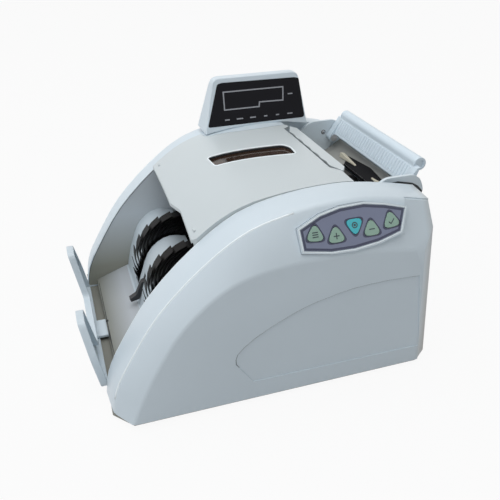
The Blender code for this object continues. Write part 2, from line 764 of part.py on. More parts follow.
def make_note_stop():
    front = STOP_FRONT
    body = extruded("note_stop", [fillet(stop_outline(0), 0.006)], front, front + STOP_THICKNESS, "X")
    leaning(body, STOP_FOOT)
    pocket = extruded("stop_recess", [fillet(stop_outline(STOP_RIM), 0.004)], front + STOP_PANEL,
                      front + STOP_THICKNESS + OVERRUN, "X")
    cut(body, leaning(pocket, STOP_FOOT))
    low = TONGUE_HEIGHT
    root = front + STOP_PANEL * 0.8 - STOP_LEAN * (low + TONGUE_THICKNESS)
    slot_end = FLOOR_START + SHEET * 2
    tongue = extruded("stop_tongue", [
        [(root, -TONGUE_WIDTH / 2), (root, TONGUE_WIDTH / 2), (TONGUE_LENGTH, TONGUE_WIDTH / 2),
         (TONGUE_LENGTH, -TONGUE_WIDTH / 2)],
        [(slot_end, -TONGUE_SLOT_WIDTH / 2), (slot_end, TONGUE_SLOT_WIDTH / 2),
         (TONGUE_LENGTH - TONGUE_SLOT_WIDTH, TONGUE_SLOT_WIDTH / 2),
         (TONGUE_LENGTH - TONGUE_SLOT_WIDTH, -TONGUE_SLOT_WIDTH / 2)]], low, low + TONGUE_THICKNESS, "Z")
    join(body, tongue)
    return finish(body, "note_stop", "housing")


def make_stop_screw():
    """A shouldered screw that stands on the base pan in the tongue's slot."""
    base = PAN_THICKNESS + GAP
    head = TONGUE_HEIGHT + TONGUE_THICKNESS + GAP
    profile = [(0, head + SHEET), (GUIDE_SCREW_HEAD, head + SHEET), (GUIDE_SCREW_HEAD, head),
               (GUIDE_SCREW_RADIUS, head), (GUIDE_SCREW_RADIUS, base), (0, base)]
    upright = Matrix.Translation((GUIDE_SCREW_X, 0, 0)) @ Matrix.Rotation(math.pi / 2, 4, "X")
    return finish(turned("stop_guide_screw", profile, 0, 0, 0, 14, upright), "stop_guide_screw", "steel")


# Stacker wheels with curved trailing fins
def fin_outline(fin):
    """The closed outline of one curved fin, which leaves the drum square and trails more and more."""
    middle = []
    for step in range(FIN_STEPS + 1):
        s = step / FIN_STEPS
        radius = FIN_ROOT + (FIN_RADIUS - FIN_ROOT) * s
        angle = 2 * math.pi * fin / FIN_COUNT + FIN_SWEEP * s * s
        middle.append(Vector((STACKER_X - radius * math.cos(angle), STACKER_Z + radius * math.sin(angle))))
    return offset_line(middle, FIN_THICKNESS / 2) + offset_line(middle, -FIN_THICKNESS / 2)[::-1]


def make_stacker_wheels():
    bore = SHAFT_RADIUS + ROLLER_BORE_GAP
    fins = [fin_outline(fin) for fin in range(FIN_COUNT)]
    drum_half = WHEEL_WIDTH / 2 + DRUM_PROUD
    for side, name in ((-1, "near_stacker_wheel"), (1, "far_stacker_wheel")):
        middle = side * WHEEL_SPACING / 2
        wheel = extruded(name, fins, middle - WHEEL_WIDTH / 2, middle + WHEEL_WIDTH / 2)
        join(wheel, cylinder("drum", DRUM_RADIUS, middle - drum_half, middle + drum_half, STACKER_X, STACKER_Z, 24))
        hub = cylinder("hub", HUB_RADIUS, middle - HUB_WIDTH / 2, middle + HUB_WIDTH / 2, STACKER_X, STACKER_Z)
        join(wheel, hub)
        cut(wheel, cylinder("bore", bore, middle - HUB_WIDTH, middle + HUB_WIDTH, STACKER_X, STACKER_Z, 16))
        finish(wheel, name, "black_plastic", (STACKER_X, middle, STACKER_Z))


# Shafts, rollers and pulleys
def make_shaft(name, axis, far_end):
    shaft = cylinder(name, SHAFT_RADIUS, -PLATE_OUTER - COLLAR_HEIGHT * 3, far_end, axis.x, axis.z, 16)
    return finish(shaft, name, "steel", axis)


def make_roller(name, axis, radius, places, width, ends, material, steps=16, pulley_radius=None):
    """A bar with a rubber land at each place on it, turned in one piece, also with a belt land at its end."""
    profile = [(0, ends[1]), (SHAFT_RADIUS, ends[1])]
    lands = [(y, radius, width) for y in sorted(places, reverse=True)]
    if pulley_radius:
        profile = [(0, ends[1])]
        lands.insert(0, (PULLEY_OFFSET, pulley_radius, PULLEY_WIDTH))
    for y, land, length in lands:
        top = y + length / 2
        bottom = y - length / 2
        profile += [(SHAFT_RADIUS, top), (land, top), (land, bottom), (SHAFT_RADIUS, bottom)]
    profile += [(SHAFT_RADIUS, ends[0]), (0, ends[0])]
    return finish(turned(name, profile, axis.x, 0, axis.z, steps), name, material, axis)


def make_pulley(name, axis, lanes):
    """A flanged belt pulley; its lanes are given as {lane number: radius}, stacked outwards along +Y."""
    bore = SHAFT_RADIUS + ROLLER_BORE_GAP
    flange = max(lanes.values()) + FLANGE_RISE
    top = PULLEY_OFFSET + PULLEY_WIDTH * max(lanes) + PULLEY_WIDTH / 2
    bottom = PULLEY_OFFSET + PULLEY_WIDTH * min(lanes) - PULLEY_WIDTH / 2
    profile = [(bore, top), (flange, top)]
    for lane in sorted(lanes, reverse=True):
        middle = PULLEY_OFFSET + PULLEY_WIDTH * lane
        half = BELT_WIDTH / 2 + GAP * 2
        profile += [(flange, middle + half), (lanes[lane], middle + half), (lanes[lane], middle - half),
                    (flange, middle - half)]
    profile += [(flange, bottom), (bore, bottom), (bore, top)]
    return finish(turned(name, profile, axis.x, 0, axis.z, 18), name, "black_plastic", axis)


FLANGE_RISE = 0.0022


def make_belt(name, first, first_radius, second, second_radius, lane):
    """A flat belt round two pulleys: the outline of its tangents and arcs."""
    def loop(extra):
        gap = (second - first).length
        heading = math.atan2(second.z - first.z, second.x - first.x)
        tilt = math.acos((first_radius - second_radius) / gap)
        outline = []
        for axis, radius, start, stop in ((first, first_radius + extra, heading + tilt, heading + 2 * math.pi - tilt),
                                          (second, second_radius + extra, heading - tilt, heading + tilt)):
            for step in range(ARC_STEPS + 1):
                angle = start + (stop - start) * step / ARC_STEPS
                outline.append((axis.x + radius * math.cos(angle), axis.z + radius * math.sin(angle)))
        return outline
    middle = PULLEY_OFFSET + PULLEY_WIDTH * lane
    belt = extruded(name, [loop(GAP + BELT_THICKNESS), loop(GAP)], middle - BELT_WIDTH / 2,
                    middle + BELT_WIDTH / 2)
    return finish(belt, name, "rubber")


ARC_STEPS = 12


def belt_gap(place, first, first_radius, second, second_radius):
    """How far a place lies inside the lower strand of the belt between two pulleys."""
    run = second - first
    along = (place - first).dot(run) / run.length_squared
    down = Vector((-run.z, 0, run.x)).normalized()
    return first_radius + (second_radius - first_radius) * along - (place - first).dot(down)


def make_drive():
    plain = PLATE_OUTER + COLLAR_HEIGHT * 3
    inside = PLATE_INNER - GAP
    lane_end = PULLEY_OFFSET + PULLEY_WIDTH
    stacker_lane, pickup_lane, motor_lane = FEED_PULLEY_RADII
    make_shaft("stacker_shaft", STACKER_AXIS, lane_end - PULLEY_WIDTH / 3)
    make_roller("feed_roller", FEED_AXIS, FEED_RADIUS, FEED_PLACES, FEED_WIDTH,
                (-plain, lane_end + PULLEY_WIDTH * 2), "rubber", 28)
    make_roller("pickup_roller", PICKUP_AXIS, PICKUP_RADIUS, PICKUP_PLACES, PICKUP_WIDTH,
                (-plain, lane_end + PULLEY_WIDTH / 2), "rubber", 24)
    idler = belt_gap(EXIT_AXIS, FEED_AXIS, stacker_lane, STACKER_AXIS, STACKER_PULLEY_RADIUS)
    make_roller("exit_roller", EXIT_AXIS, NIP_RADIUS, NIP_PLACES, NIP_WIDTH,
                (-plain, PULLEY_OFFSET + PULLEY_WIDTH / 2), "rubber", 16, idler)
    make_roller("pinch_roller", PINCH_AXIS, NIP_RADIUS, NIP_PLACES, NIP_WIDTH, (-plain, plain), "grey_plastic")
    make_roller("retard_roller", RETARD_AXIS, RETARD_RADIUS, FEED_PLACES, FEED_WIDTH * RETARD_WIDTH_SHARE,
                (-inside, inside), "rubber")
    make_pulley("feed_pulley", FEED_AXIS, dict(enumerate(FEED_PULLEY_RADII)))
    make_pulley("stacker_pulley", STACKER_AXIS, {0: STACKER_PULLEY_RADIUS})
    make_pulley("pickup_pulley", PICKUP_AXIS, {1: PICKUP_PULLEY_RADIUS})
    make_belt("stacker_belt", FEED_AXIS, stacker_lane, STACKER_AXIS, STACKER_PULLEY_RADIUS, 0)
    make_belt("pickup_belt", FEED_AXIS, pickup_lane, PICKUP_AXIS, PICKUP_PULLEY_RADIUS, 1)
    make_belt("motor_belt", FEED_AXIS, motor_lane, MOTOR_AXIS, MOTOR_PULLEY_RADIUS, 2)


RETARD_WIDTH_SHARE = 0.8
FEED_PLACES = (-0.046, 0, 0.046)
FEED_WIDTH = 0.018
PICKUP_PLACES = (-0.022, 0.022)
PICKUP_WIDTH = 0.020
NIP_PLACES = (-0.062, -0.010, 0.010, 0.062)
NIP_WIDTH = 0.012


def make_motor():
    high = PLATE_INNER - GAP
    low = high - MOTOR_LENGTH
    end = MOTOR_LENGTH / 6
    slim = MOTOR_RADIUS * 0.9
    profile = [(0, high), (slim, high), (slim, high - end), (MOTOR_RADIUS, high - end), (MOTOR_RADIUS, low + end),
               (slim, low + end), (slim, low), (0, low)]
    motor = finish(turned("drive_motor", profile, MOTOR_X, 0, MOTOR_Z, 28), "drive_motor", "steel")
    top = PULLEY_OFFSET + PULLEY_WIDTH * 2 + PULLEY_WIDTH / 2
    flange = MOTOR_PULLEY_RADIUS + BELT_THICKNESS * 1.6
    lip = (PULLEY_WIDTH - BELT_WIDTH) / 2 - GAP * 2
    low_flange = top - PULLEY_WIDTH
    spindle = [(0, top), (flange, top), (flange, top - lip), (MOTOR_PULLEY_RADIUS, top - lip),
               (MOTOR_PULLEY_RADIUS, low_flange + lip), (flange, low_flange + lip), (flange, low_flange),
               (SHAFT_RADIUS, low_flange), (SHAFT_RADIUS, high + GAP * 2), (0, high + GAP * 2)]
    pulley = turned("motor_pulley", spindle, MOTOR_X, 0, MOTOR_Z, 16)
    finish(pulley, "motor_pulley", "brass", MOTOR_AXIS)
    return motor


def make_encoder():
    """A slotted timing disc on the near end of the feed shaft."""
    outline = []
    for slot in range(ENCODER_SLOTS):
        turn = 2 * math.pi / ENCODER_SLOTS
        for angle, radius in ((0, ENCODER_RADIUS), (0.5, ENCODER_RADIUS), (0.5, ENCODER_RADIUS * 0.78),
                              (1, ENCODER_RADIUS * 0.78)):
            heading = (slot + angle) * turn
            outline.append((FEED_AXIS.x + radius * math.cos(heading), FEED_AXIS.z + radius * math.sin(heading)))
    high = -PLATE_OUTER - COLLAR_HEIGHT - GAP * 3
    low = high - COLLAR_HEIGHT
    disc = extruded("encoder_disc", [outline, circle(FEED_AXIS.x, FEED_AXIS.z, SHAFT_RADIUS + GAP)], low, high)
    return finish(disc, "encoder_disc", "black_plastic", FEED_AXIS)


# Lid
def lid_surface_height(x, y):
    """The lid's upper face: the arch, raised at the front and slightly crowned across."""
    along = min(max((x - LID_FRONT) / (LID_RAISE_END - LID_FRONT), 0), 1)
    raise_share = 1 - along * along * (3 - 2 * along)
    crown = LID_CROWN * (1 - (y / HALF_BAY) ** 2) * (1 - along * CROWN_FADE_SHARE)
    return arch_height(x) + LID_RAISE * raise_share + crown


LID_RAISE_END = 0.190
CROWN_FADE_SHARE = 0.75
LID_ROWS = 16
LID_COLUMNS = 8


def lid_sheet(name, low_x, high_x, half, drop, thickness, skirt):
    """A curved sheet that follows the lid's face at a drop below it."""
    sides = [-half + 2 * half * i / LID_COLUMNS for i in range(LID_COLUMNS + 1)]
    work = bmesh.new()
    rows = []
    for step in range(LID_ROWS + 1):
        x = low_x + (high_x - low_x) * step / LID_ROWS
        slope = (arch_height(x + WELD) - arch_height(x - WELD)) / (2 * WELD)
        row = [Vector((x, y, lid_surface_height(x, y) - drop * math.hypot(1, slope))) for y in sides]
        if skirt:
            row.insert(0, row[0] - Vector((0, 0, skirt)))
            row.append(row[-1] - Vector((0, 0, skirt)))
        rows.append([work.verts.new(point) for point in row])
    for left, right in zip(rows, rows[1:]):
        for i in range(len(left) - 1):
            work.faces.new((left[i], right[i], right[i + 1], left[i + 1]))
    bmesh.ops.recalc_face_normals(work, faces=work.faces)
    mesh = bpy.data.meshes.new(name)
    work.to_mesh(mesh)
    work.free()
    if mesh.polygons[len(mesh.polygons) // 2].normal.z < 0:
        mesh.flip_normals()
    item = link_mesh(name, mesh)
    shell = item.modifiers.new("thickness", "SOLIDIFY")
    shell.thickness = thickness
    shell.offset = -1
    shell.use_even_offset = True
    return baked(item)


def slot_outline():
    """The window slot in (X, Y): shares of the body length and half the bay."""
    return fillet(shaped(SLOT_OUTLINE_SHARES, BODY_LENGTH, HALF_BAY), SLOT_CORNER)


SLOT_CORNER = 0.004


def lid_outline():
    """The lid in plan, with its stepped front edge, the wings beside the hopper bar and the display notch."""
    half = HALF_BAY - LID_SIDE_GAP
    flare = BAR_HALF_LENGTH + BAR_END_FLARE
    notch = smooth_line(shaped(NOTCH_SHARES, BODY_LENGTH, HALF_BAY), 2)
    notch_rear = [Vector((LID_WING_REAR, notch[-1].y)), Vector((LID_WING_REAR, flare))]
    front = [Vector((LID_FRONT, half)), Vector((LID_FRONT - LID_STEP / 2, -HALF_BAY * 0.13)),
             Vector((LID_FRONT + LID_STEP / 2, -HALF_BAY * 0.40)), Vector((LID_FRONT, -half + SLOT_CORNER)),
             Vector((LID_FRONT + SLOT_CORNER, -half))]
    rear = [Vector((LID_WING_REAR, -half)), Vector((LID_WING_REAR, -flare)), Vector((LID_REAR, -BAR_HALF_LENGTH + GAP)),
            Vector((LID_REAR, BAR_HALF_LENGTH - GAP))]
    return [*front, *rear, *reversed(notch_rear), *reversed(notch)]


def make_lid():
    half = HALF_BAY - LID_SIDE_GAP
    lid = lid_sheet("top_cover", LID_FRONT - LID_STEP, LID_WING_REAR + OVERRUN, half, 0, LID_THICKNESS, LID_SKIRT)
    low = BODY_HEIGHT / 2
    high = BODY_HEIGHT * 1.2
    keep(lid, extruded("lid_outline", [lid_outline()], low, high, "Z"))
    cut(lid, extruded("lid_slot", [slot_outline()], low, high, "Z"))
    for side in (-1, 1):
        middle = side * LID_HINGE_Y
        lug = cylinder("lid_lug", LID_LUG_RADIUS, middle - LID_LUG_WIDTH / 2, middle + LID_LUG_WIDTH / 2,
                       LID_HINGE_X, LID_HINGE_Z, 16)
        web = block("lug_web", (LID_HINGE_X - LID_LUG_RADIUS, middle - LID_LUG_WIDTH / 2, LID_HINGE_Z),
                    (LID_HINGE_X + LID_LUG_RADIUS, middle + LID_LUG_WIDTH / 2,
                     lid_surface_height(LID_HINGE_X, middle) - LID_THICKNESS / 2))
        join(lid, web)
        join(lid, lug)
        cut(lid, cylinder("lug_bore", LID_PIN_RADIUS + GAP, middle - LID_LUG_WIDTH, middle + LID_LUG_WIDTH,
                          LID_HINGE_X, LID_HINGE_Z, 12))
    return finish(lid, "top_cover", "lid", (LID_HINGE_X, 0, LID_HINGE_Z))


def make_lid_window():
    outline = grown(slot_outline(), GLASS_MARGIN)
    xs = [point[0] for point in outline]
    glass = lid_sheet("cover_window", min(xs) - OVERRUN, max(xs) + OVERRUN, HALF_BAY / 2,
                      LID_THICKNESS + FIT, GLASS_THICKNESS, 0)
    keep(glass, extruded("glass_outline", [outline], BODY_HEIGHT / 2, BODY_HEIGHT * 1.2, "Z"))
    return finish(glass, "cover_window", "smoky_glass", (LID_HINGE_X, 0, LID_HINGE_Z))


def make_hinge_pins():
    for side, name in ((-1, "near_lid_pin"), (1, "far_lid_pin")):
        low, high = sorted((side * (LID_HINGE_Y - LID_LUG_WIDTH), side * (HALF_BAY - GAP)))
        finish(cylinder(name, LID_PIN_RADIUS, low, high, LID_HINGE_X, LID_HINGE_Z, 12), name, "steel")


# Display head on the far side
def display_deck():
    """The display's fixed foot: a deck that fills the lid's notch, with a raised neck for the head."""
    half = HALF_BAY - GAP
    notch = smooth_line(shaped(NOTCH_SHARES, BODY_LENGTH, HALF_BAY), 2)
    notch = [point for point in offset_line(notch, -LID_SIDE_GAP) if point.y < half]
    outline = [*notch, Vector((notch[-1].x, half)), Vector((notch[0].x, half))]
    low = BODY_HEIGHT / 2
    high = BODY_HEIGHT * 1.2
    left = notch[0].x - OVERRUN
    right = notch[-1].x + OVERRUN
    deck = lid_sheet("display_deck", left, right, HALF_BAY, 0, PEDESTAL_THICKNESS, 0)
    keep(deck, extruded("deck_outline", [outline], low, high, "Z"))
    neck = lid_sheet("display_neck", left, right, HALF_BAY, -NECK_HEIGHT, NECK_HEIGHT * 2, 0)
    neck_left = DISPLAY_SHARES[0][0] * BODY_LENGTH + NECK_HEIGHT * 6
    neck_right = notch[-1].x - NECK_HEIGHT * 2
    neck_low = DISPLAY_FRONT_Y + NECK_HEIGHT
    neck_outline = [(neck_left, neck_low), (neck_right, neck_low), (neck_right, half - GAP), (neck_left, half - GAP)]
    keep(neck, extruded("neck_outline", [neck_outline], low, high, "Z"))
    return baked(deck), baked(neck)


NECK_HEIGHT = 0.002
PEDESTAL_THICKNESS = 0.0032


def display_form(name, inset):
    """The head's wedge: an upright outline extruded back, then cut by its leaning front and back planes."""
    foot = []
    steps = 10
    left = DISPLAY_SHARES[0][0] * BODY_LENGTH
    right = DISPLAY_SHARES[-1][0] * BODY_LENGTH
    for step in range(steps + 1):
        x = left + (right - left) * step / steps
        foot.append(Vector((x, lid_surface_height(x, DISPLAY_FRONT_Y) + GAP * 2)))
    top = [Vector((share * BODY_LENGTH, DISPLAY_TOP)) for share, _ in reversed(DISPLAY_SHARES[1:3])]
    top = round_corners(top, foot[-1], foot[0], DISPLAY_CORNER)
    outline = [*foot, *top]
    if inset:
        outline = grown(outline, -inset)
    form = extruded(name, [outline], DISPLAY_FRONT_Y - OVERRUN, DISPLAY_FRONT_Y + DISPLAY_DEPTH + OVERRUN)
    work = bmesh.new()
    work.from_mesh(form.data)
    front = Vector((0, DISPLAY_FRONT_Y + inset, DISPLAY_FOOT_Z))
    back = Vector((0, DISPLAY_FRONT_Y + DISPLAY_DEPTH - inset, DISPLAY_FOOT_Z))
    for place, normal in ((front, Vector((0, -1, DISPLAY_LEAN))), (back, Vector((0, 1, DISPLAY_BACK_LEAN)))):
        everything = [*work.verts, *work.edges, *work.faces]
        bmesh.ops.bisect_plane(work, geom=everything, plane_co=place, plane_no=normal.normalized(), clear_outer=True)
        bmesh.ops.holes_fill(work, edges=[edge for edge in work.edges if edge.is_boundary], sides=0)
    bmesh.ops.recalc_face_normals(work, faces=work.faces)
    work.to_mesh(form.data)
    work.free()
    return form


def round_corners(top, before, after, radius):
    line = fillet([before, *top, after], radius)
    steps = len(line) // 4
    return line[steps:steps * 3]


def lens_frame():
    """Places (X, Z) outlines on the display's leaning front plane."""
    tilt = Matrix.Identity(4)
    tilt[1][2] = DISPLAY_LEAN
    foot = Matrix.Translation((0, DISPLAY_FRONT_Y, DISPLAY_FOOT_Z))
    return foot @ tilt @ Matrix.Translation((0, 0, -DISPLAY_FOOT_Z))


def make_display():
    housing = display_form("display_housing", 0)
    housing = baked(rounded(housing, DISPLAY_EDGE, 1))
    lens = fillet(shaped(LENS_SHARES), DISPLAY_CORNER / 2)
    frame = lens_frame()
    cut(housing, extruded("lens_seat", [grown(lens, GAP)], -OVERRUN, LENS_DEPTH, "Y", frame))
    bay = extruded("module_bay", [grown(lens, -MODULE_MARGIN)], -OVERRUN / 2, MODULE_DEPTH, "Y", frame)
    combine(housing, bay, "DIFFERENCE", "MANIFOLD")
    for piece in display_deck():
        join(housing, piece)
    finish(housing, "display_housing", "housing")
    window = extruded("display_window", [lens], LENS_DEPTH - LENS_THICKNESS - GAP, LENS_DEPTH - GAP, "Y", frame)
    finish(window, "display_window", "display_glass")


DISPLAY_EDGE = 0.0008
MODULE_MARGIN = 0.003


# Keypad
def keypad_frame():
    """X along the body, Y up the shoulder's slope, Z out of it; its origin is the keypad's middle."""
    run = Vector((0, HALF_BODY - HALF_EDGE, BODY_HEIGHT * KEYPAD_RISE_SHARE)).normalized()
    along = Vector((1, 0, 0))
    out = along.cross(run)
    frame = Matrix((along, run, out)).transposed().to_4x4()
    frame.translation = Vector((KEYPAD_X, -KEYPAD_Y, KEYPAD_Z))
    return frame


KEYPAD_RISE_SHARE = 0.225
KEYPAD_OUTLINE_SHARES = [(-0.5, 0.10), (-0.30, 0.335), (-0.11, 0.44), (0.12, 0.455), (0.32, 0.36), (0.51, 0.22),
                         (0.44, -0.28), (0.22, -0.43), (-0.02, -0.50), (-0.24, -0.485), (-0.49, -0.37)]


def keypad_outline():
    return shaped(KEYPAD_OUTLINE_SHARES, KEYPAD_LENGTH, KEYPAD_HEIGHT)


def key_outline(place, margin):
    """A rounded triangle that points along its heading."""
    across, up, heading = place
    centre = Vector((across * KEYPAD_LENGTH, up * KEYPAD_HEIGHT))
    turn = 2 * math.pi / 3
    corners = [centre + Vector((math.cos(math.radians(heading) + i * turn),
                                math.sin(math.radians(heading) + i * turn))) * (KEY_SIZE + margin * 2)
               for i in range(3)]
    return fillet(corners, KEY_SIZE * KEY_CORNER_SHARE * 2, 4)


KEY_NAMES = ("left_key", "plus_key", "mode_key", "minus_key", "right_key")


def make_keypad(cover):
    frame = keypad_frame()
    outline = keypad_outline()
    rim = grown(outline, KEYPAD_RIM)
    cut(cover, extruded("keypad_hole", [grown(rim, GAP)], -KEYPAD_BODY * 3, KEYPAD_BODY * 3, "Z", frame))
    holes = [key_outline(place, GAP) for place in KEY_PLACE_SHARES]
    top = KEYPAD_PROUD
    floor = top - KEYPAD_POCKET
    bezel = extruded("keypad_bezel", [rim, *holes], top - KEYPAD_BODY, top, "Z", frame)
    cut(bezel, extruded("keypad_pocket", [grown(outline, GAP)], floor, top + OVERRUN, "Z", frame))
    finish(bezel, "keypad_bezel", "housing")
    panel_low = floor + GAP
    panel_high = panel_low + PANEL_THICKNESS
    finish(extruded("keypad_panel", [outline, *holes], panel_low, panel_high, "Z", frame), "keypad_panel",
           "keypad_blue")
    key_top = panel_high + KEY_PROUD
    for name, place in zip(KEY_NAMES, KEY_PLACE_SHARES):
        key = extruded(name, [key_outline(place, -GAP)], key_top - KEY_DEPTH - PANEL_THICKNESS, key_top, "Z", frame)
        key_pivot = frame @ Vector((place[0] * KEYPAD_LENGTH, place[1] * KEYPAD_HEIGHT, key_top))
        finish(key, name, "key_teal" if name == "mode_key" else "key_green", key_pivot)
    board_top = top - KEYPAD_BODY - GAP
    board = extruded("keypad_board", [grown(outline, -KEYPAD_RIM)], board_top - BOARD_THICKNESS, board_top, "Z", frame)
    finish(board, "keypad_board", "circuit")


# Hopper
def make_hopper_walls():
    for side, name in ((-1, "near_hopper_wall"), (1, "far_hopper_wall")):
        low, high = sorted((side * CHEEK_HALF_SPACING, side * (CHEEK_HALF_SPACING + CHEEK_THICKNESS)))
        wall = extruded(name, [fillet(shaped(CHEEK_SHARES), WALL, 2)], low, high)
        cut(wall, cylinder("pivot_hole", PIVOT_SCREW_RADIUS + GAP, low - OVERRUN, high + OVERRUN,
                           SUPPORT_PIVOT_X, SUPPORT_PIVOT_Z, 16))
        finish(wall, name, "grey_plastic")


def make_hopper_floor():
    top = [Vector((x, slope_height(x))) for x in (HOPPER_FLOOR_START, HOPPER_FLOOR_END)]
    under = offset_line(top, HOPPER_FLOOR_SHEET)
    half = CHEEK_HALF_SPACING - GAP
    floor = extruded("hopper_floor", [[*top, *reversed(under)]], -half, half)
    cut(floor, block("pickup_opening", (PICKUP_OPENING_START, -PICKUP_OPENING_HALF, 0),
                     (PICKUP_OPENING_END, PICKUP_OPENING_HALF, BODY_HEIGHT)))
    return finish(floor, "hopper_floor", "grey_plastic")


def make_note_wedges():
    """Two cream guides on the hopper floor that taper towards the middle."""
    frame = Matrix.Translation((WEDGE_X, 0, slope_height(WEDGE_X) + GAP / math.cos(SLOPE_ANGLE)))
    frame = frame @ Matrix.Rotation(-SLOPE_ANGLE, 4, "Y")
    for side, name in ((-1, "near_note_wedge"), (1, "far_note_wedge")):
        root = side * (WEDGE_INNER + WEDGE_LENGTH)
        tip = side * WEDGE_INNER
        work = bmesh.new()
        thin = WEDGE_HEIGHT / 5
        half = WEDGE_WIDTH / 2
        corners = [(-half, root, 0), (half, root, 0), (half, root, thin), (0, root, WEDGE_HEIGHT), (-half, root, thin),
                   (-thin, tip, 0), (thin, tip, 0), (thin, tip, thin), (0, tip, thin), (-thin, tip, thin)]
        points = [work.verts.new(frame @ Vector(corner)) for corner in corners]
        work.faces.new(points[:5])
        work.faces.new(points[5:])
        for i in range(5):
            j = (i + 1) % 5
            work.faces.new((points[i], points[j], points[5 + j], points[5 + i]))
        bmesh.ops.recalc_face_normals(work, faces=work.faces)
        mesh = bpy.data.meshes.new(name)
        work.to_mesh(mesh)
        work.free()
        finish(link_mesh(name, mesh), name, "cream_plastic")


def make_front_bar():
    """Hopper front wall: a folded section whose front edge is scalloped."""
    rear = BAR_REAR
    flare = BAR_HALF_LENGTH + BAR_END_FLARE
    front_line = []
    run = BAR_HALF_LENGTH - BAR_END_FLARE
    steps = SCALLOPS * 4
    for step in range(steps + 1):
        y = -run + 2 * run * step / steps
        wave = SCALLOP_DEPTH * (1 - math.cos(2 * math.pi * step * SCALLOPS / steps)) / 2
        front_line.append(Vector((BAR_FRONT + wave, y)))
    plan = [Vector((rear, -BAR_HALF_LENGTH)), Vector((BAR_FRONT + BAR_END_STEP, -flare)), *front_line,
            Vector((BAR_FRONT + BAR_END_STEP, flare)), Vector((rear, BAR_HALF_LENGTH))]
    bar = extruded("hopper_front_bar", [plan], BAR_FOOT, BAR_HEIGHT, "Z")
    hollow = [(0, BAR_FOOT - OVERRUN), (rear - BAR_SKIN, BAR_FOOT - OVERRUN), (rear - BAR_SKIN, BAR_HEIGHT - BAR_SKIN),
              (0, BAR_HEIGHT - BAR_SKIN)]
    cut(bar, extruded("bar_hollow", [hollow], -flare - OVERRUN, flare + OVERRUN))
    foot = extruded("bar_rail", [[(rear - BAR_SKIN, BAR_FOOT), (rear, BAR_FOOT), (rear, BAR_FOOT + RAIL_HEIGHT),
                                  (rear - BAR_SKIN, BAR_FOOT + RAIL_HEIGHT)]], -CHEEK_HALF_SPACING + GAP,
                    CHEEK_HALF_SPACING - GAP)
    join(bar, foot)
    return finish(bar, "hopper_front_bar", "lid")


RAIL_HEIGHT = 0.030


def make_note_support():
    """Swinging note support: a ribbed sheet that rolls over into a grip at its top edge."""
    pivot = Vector((SUPPORT_PIVOT_X, SUPPORT_PIVOT_Z))
    grip = Vector((GRIP_X, GRIP_Z))
    grip_start = Vector((grip.x - GRIP_RADIUS * 0.95, grip.y - GRIP_RADIUS * 0.25))
    outer = [pivot + Vector(SUPPORT_FOOT), grip_start]
    arc = []
    steps = 12
    for step in range(steps + 1):
        angle = math.radians(195) - math.radians(290) * step / steps
        arc.append(grip + Vector((math.cos(angle), math.sin(angle))) * GRIP_RADIUS)
    line = [outer[0], *arc]
    inner = offset_line(line, SUPPORT_SHEET * 0.75)
    sheet = extruded("note_support", [[*line, *reversed(inner)]], -GRIP_HALF_LENGTH, GRIP_HALF_LENGTH)
    for side in (-1, 1):
        outer_y = side * (CHEEK_HALF_SPACING - GAP * 2)
        inner_y = side * (GRIP_HALF_LENGTH - SUPPORT_EAR_WIDTH)
        low, high = sorted((inner_y, outer_y))
        ear_outline = [*arc_points(pivot, EAR_RADIUS, 160, 380), grip_start + (grip - grip_start) * 0.5,
                       grip_start]
        ear = extruded("support_ear", [ear_outline], low, high)
        join(sheet, ear)
        cut(sheet, cylinder("ear_bore", PIVOT_SCREW_RADIUS + GAP, low - OVERRUN, high + OVERRUN, pivot.x, pivot.y, 16))
    return finish(sheet, "note_support", "housing", (pivot.x, 0, pivot.y))


EAR_RADIUS = 0.0048
SUPPORT_FOOT = (0.0008, 0.0046)


def arc_points(centre, radius, start, stop, steps=8):
    points = []
    for step in range(steps + 1):
        angle = math.radians(start + (stop - start) * step / steps)
        points.append(centre + Vector((math.cos(angle), math.sin(angle))) * radius)
    return points


def make_pivot_screws():
    for side, name in ((-1, "near_pivot_screw"), (1, "far_pivot_screw")):
        head_in = GRIP_HALF_LENGTH - SUPPORT_EAR_WIDTH - GAP
        head = head_in - PIVOT_HEAD_HEIGHT
        tail = CHEEK_HALF_SPACING + CHEEK_THICKNESS
        profile = [(0, tail), (PIVOT_SCREW_RADIUS, tail), (PIVOT_SCREW_RADIUS, head_in), (PIVOT_HEAD_RADIUS, head_in),
                   (PIVOT_HEAD_RADIUS, head), (0, head)]
        if side < 0:
            profile = [(radius, -place) for radius, place in reversed(profile)]
        finish(turned(name, profile, SUPPORT_PIVOT_X, 0, SUPPORT_PIVOT_Z, 14), name, "steel")


# Rear panel, inlet and electrics
def make_rear_cover():
    lean = REAR_LEAN / REAR_TOP_HEIGHT
    outer = [Vector((BODY_LENGTH, COVER_FOOT)), Vector((BODY_LENGTH - lean * BODY_HEIGHT / 2, BODY_HEIGHT / 2)),
             Vector((BODY_LENGTH + REAR_BULGE, BODY_HEIGHT * 0.765)), Vector((BODY_LENGTH + REAR_BULGE, BODY_HEIGHT * 0.835))]
    inner = offset_line(outer, -WALL)
    half = HALF_BAY - GAP
    panel = extruded("rear_cover", [[*outer, *reversed(inner)]], -half, half)
    deep = BODY_LENGTH / 2
    cut(panel, block("inlet_opening", (deep, SWITCH_Y - SWITCH_WIDTH / 2 - GAP, INLET_Z - INLET_HEIGHT / 2 - GAP),
                     (BODY_LENGTH + OVERRUN * 2, INLET_Y + INLET_WIDTH / 2 + GAP, INLET_Z + INLET_HEIGHT / 2 + GAP)))
    return finish(panel, "rear_cover", "housing")


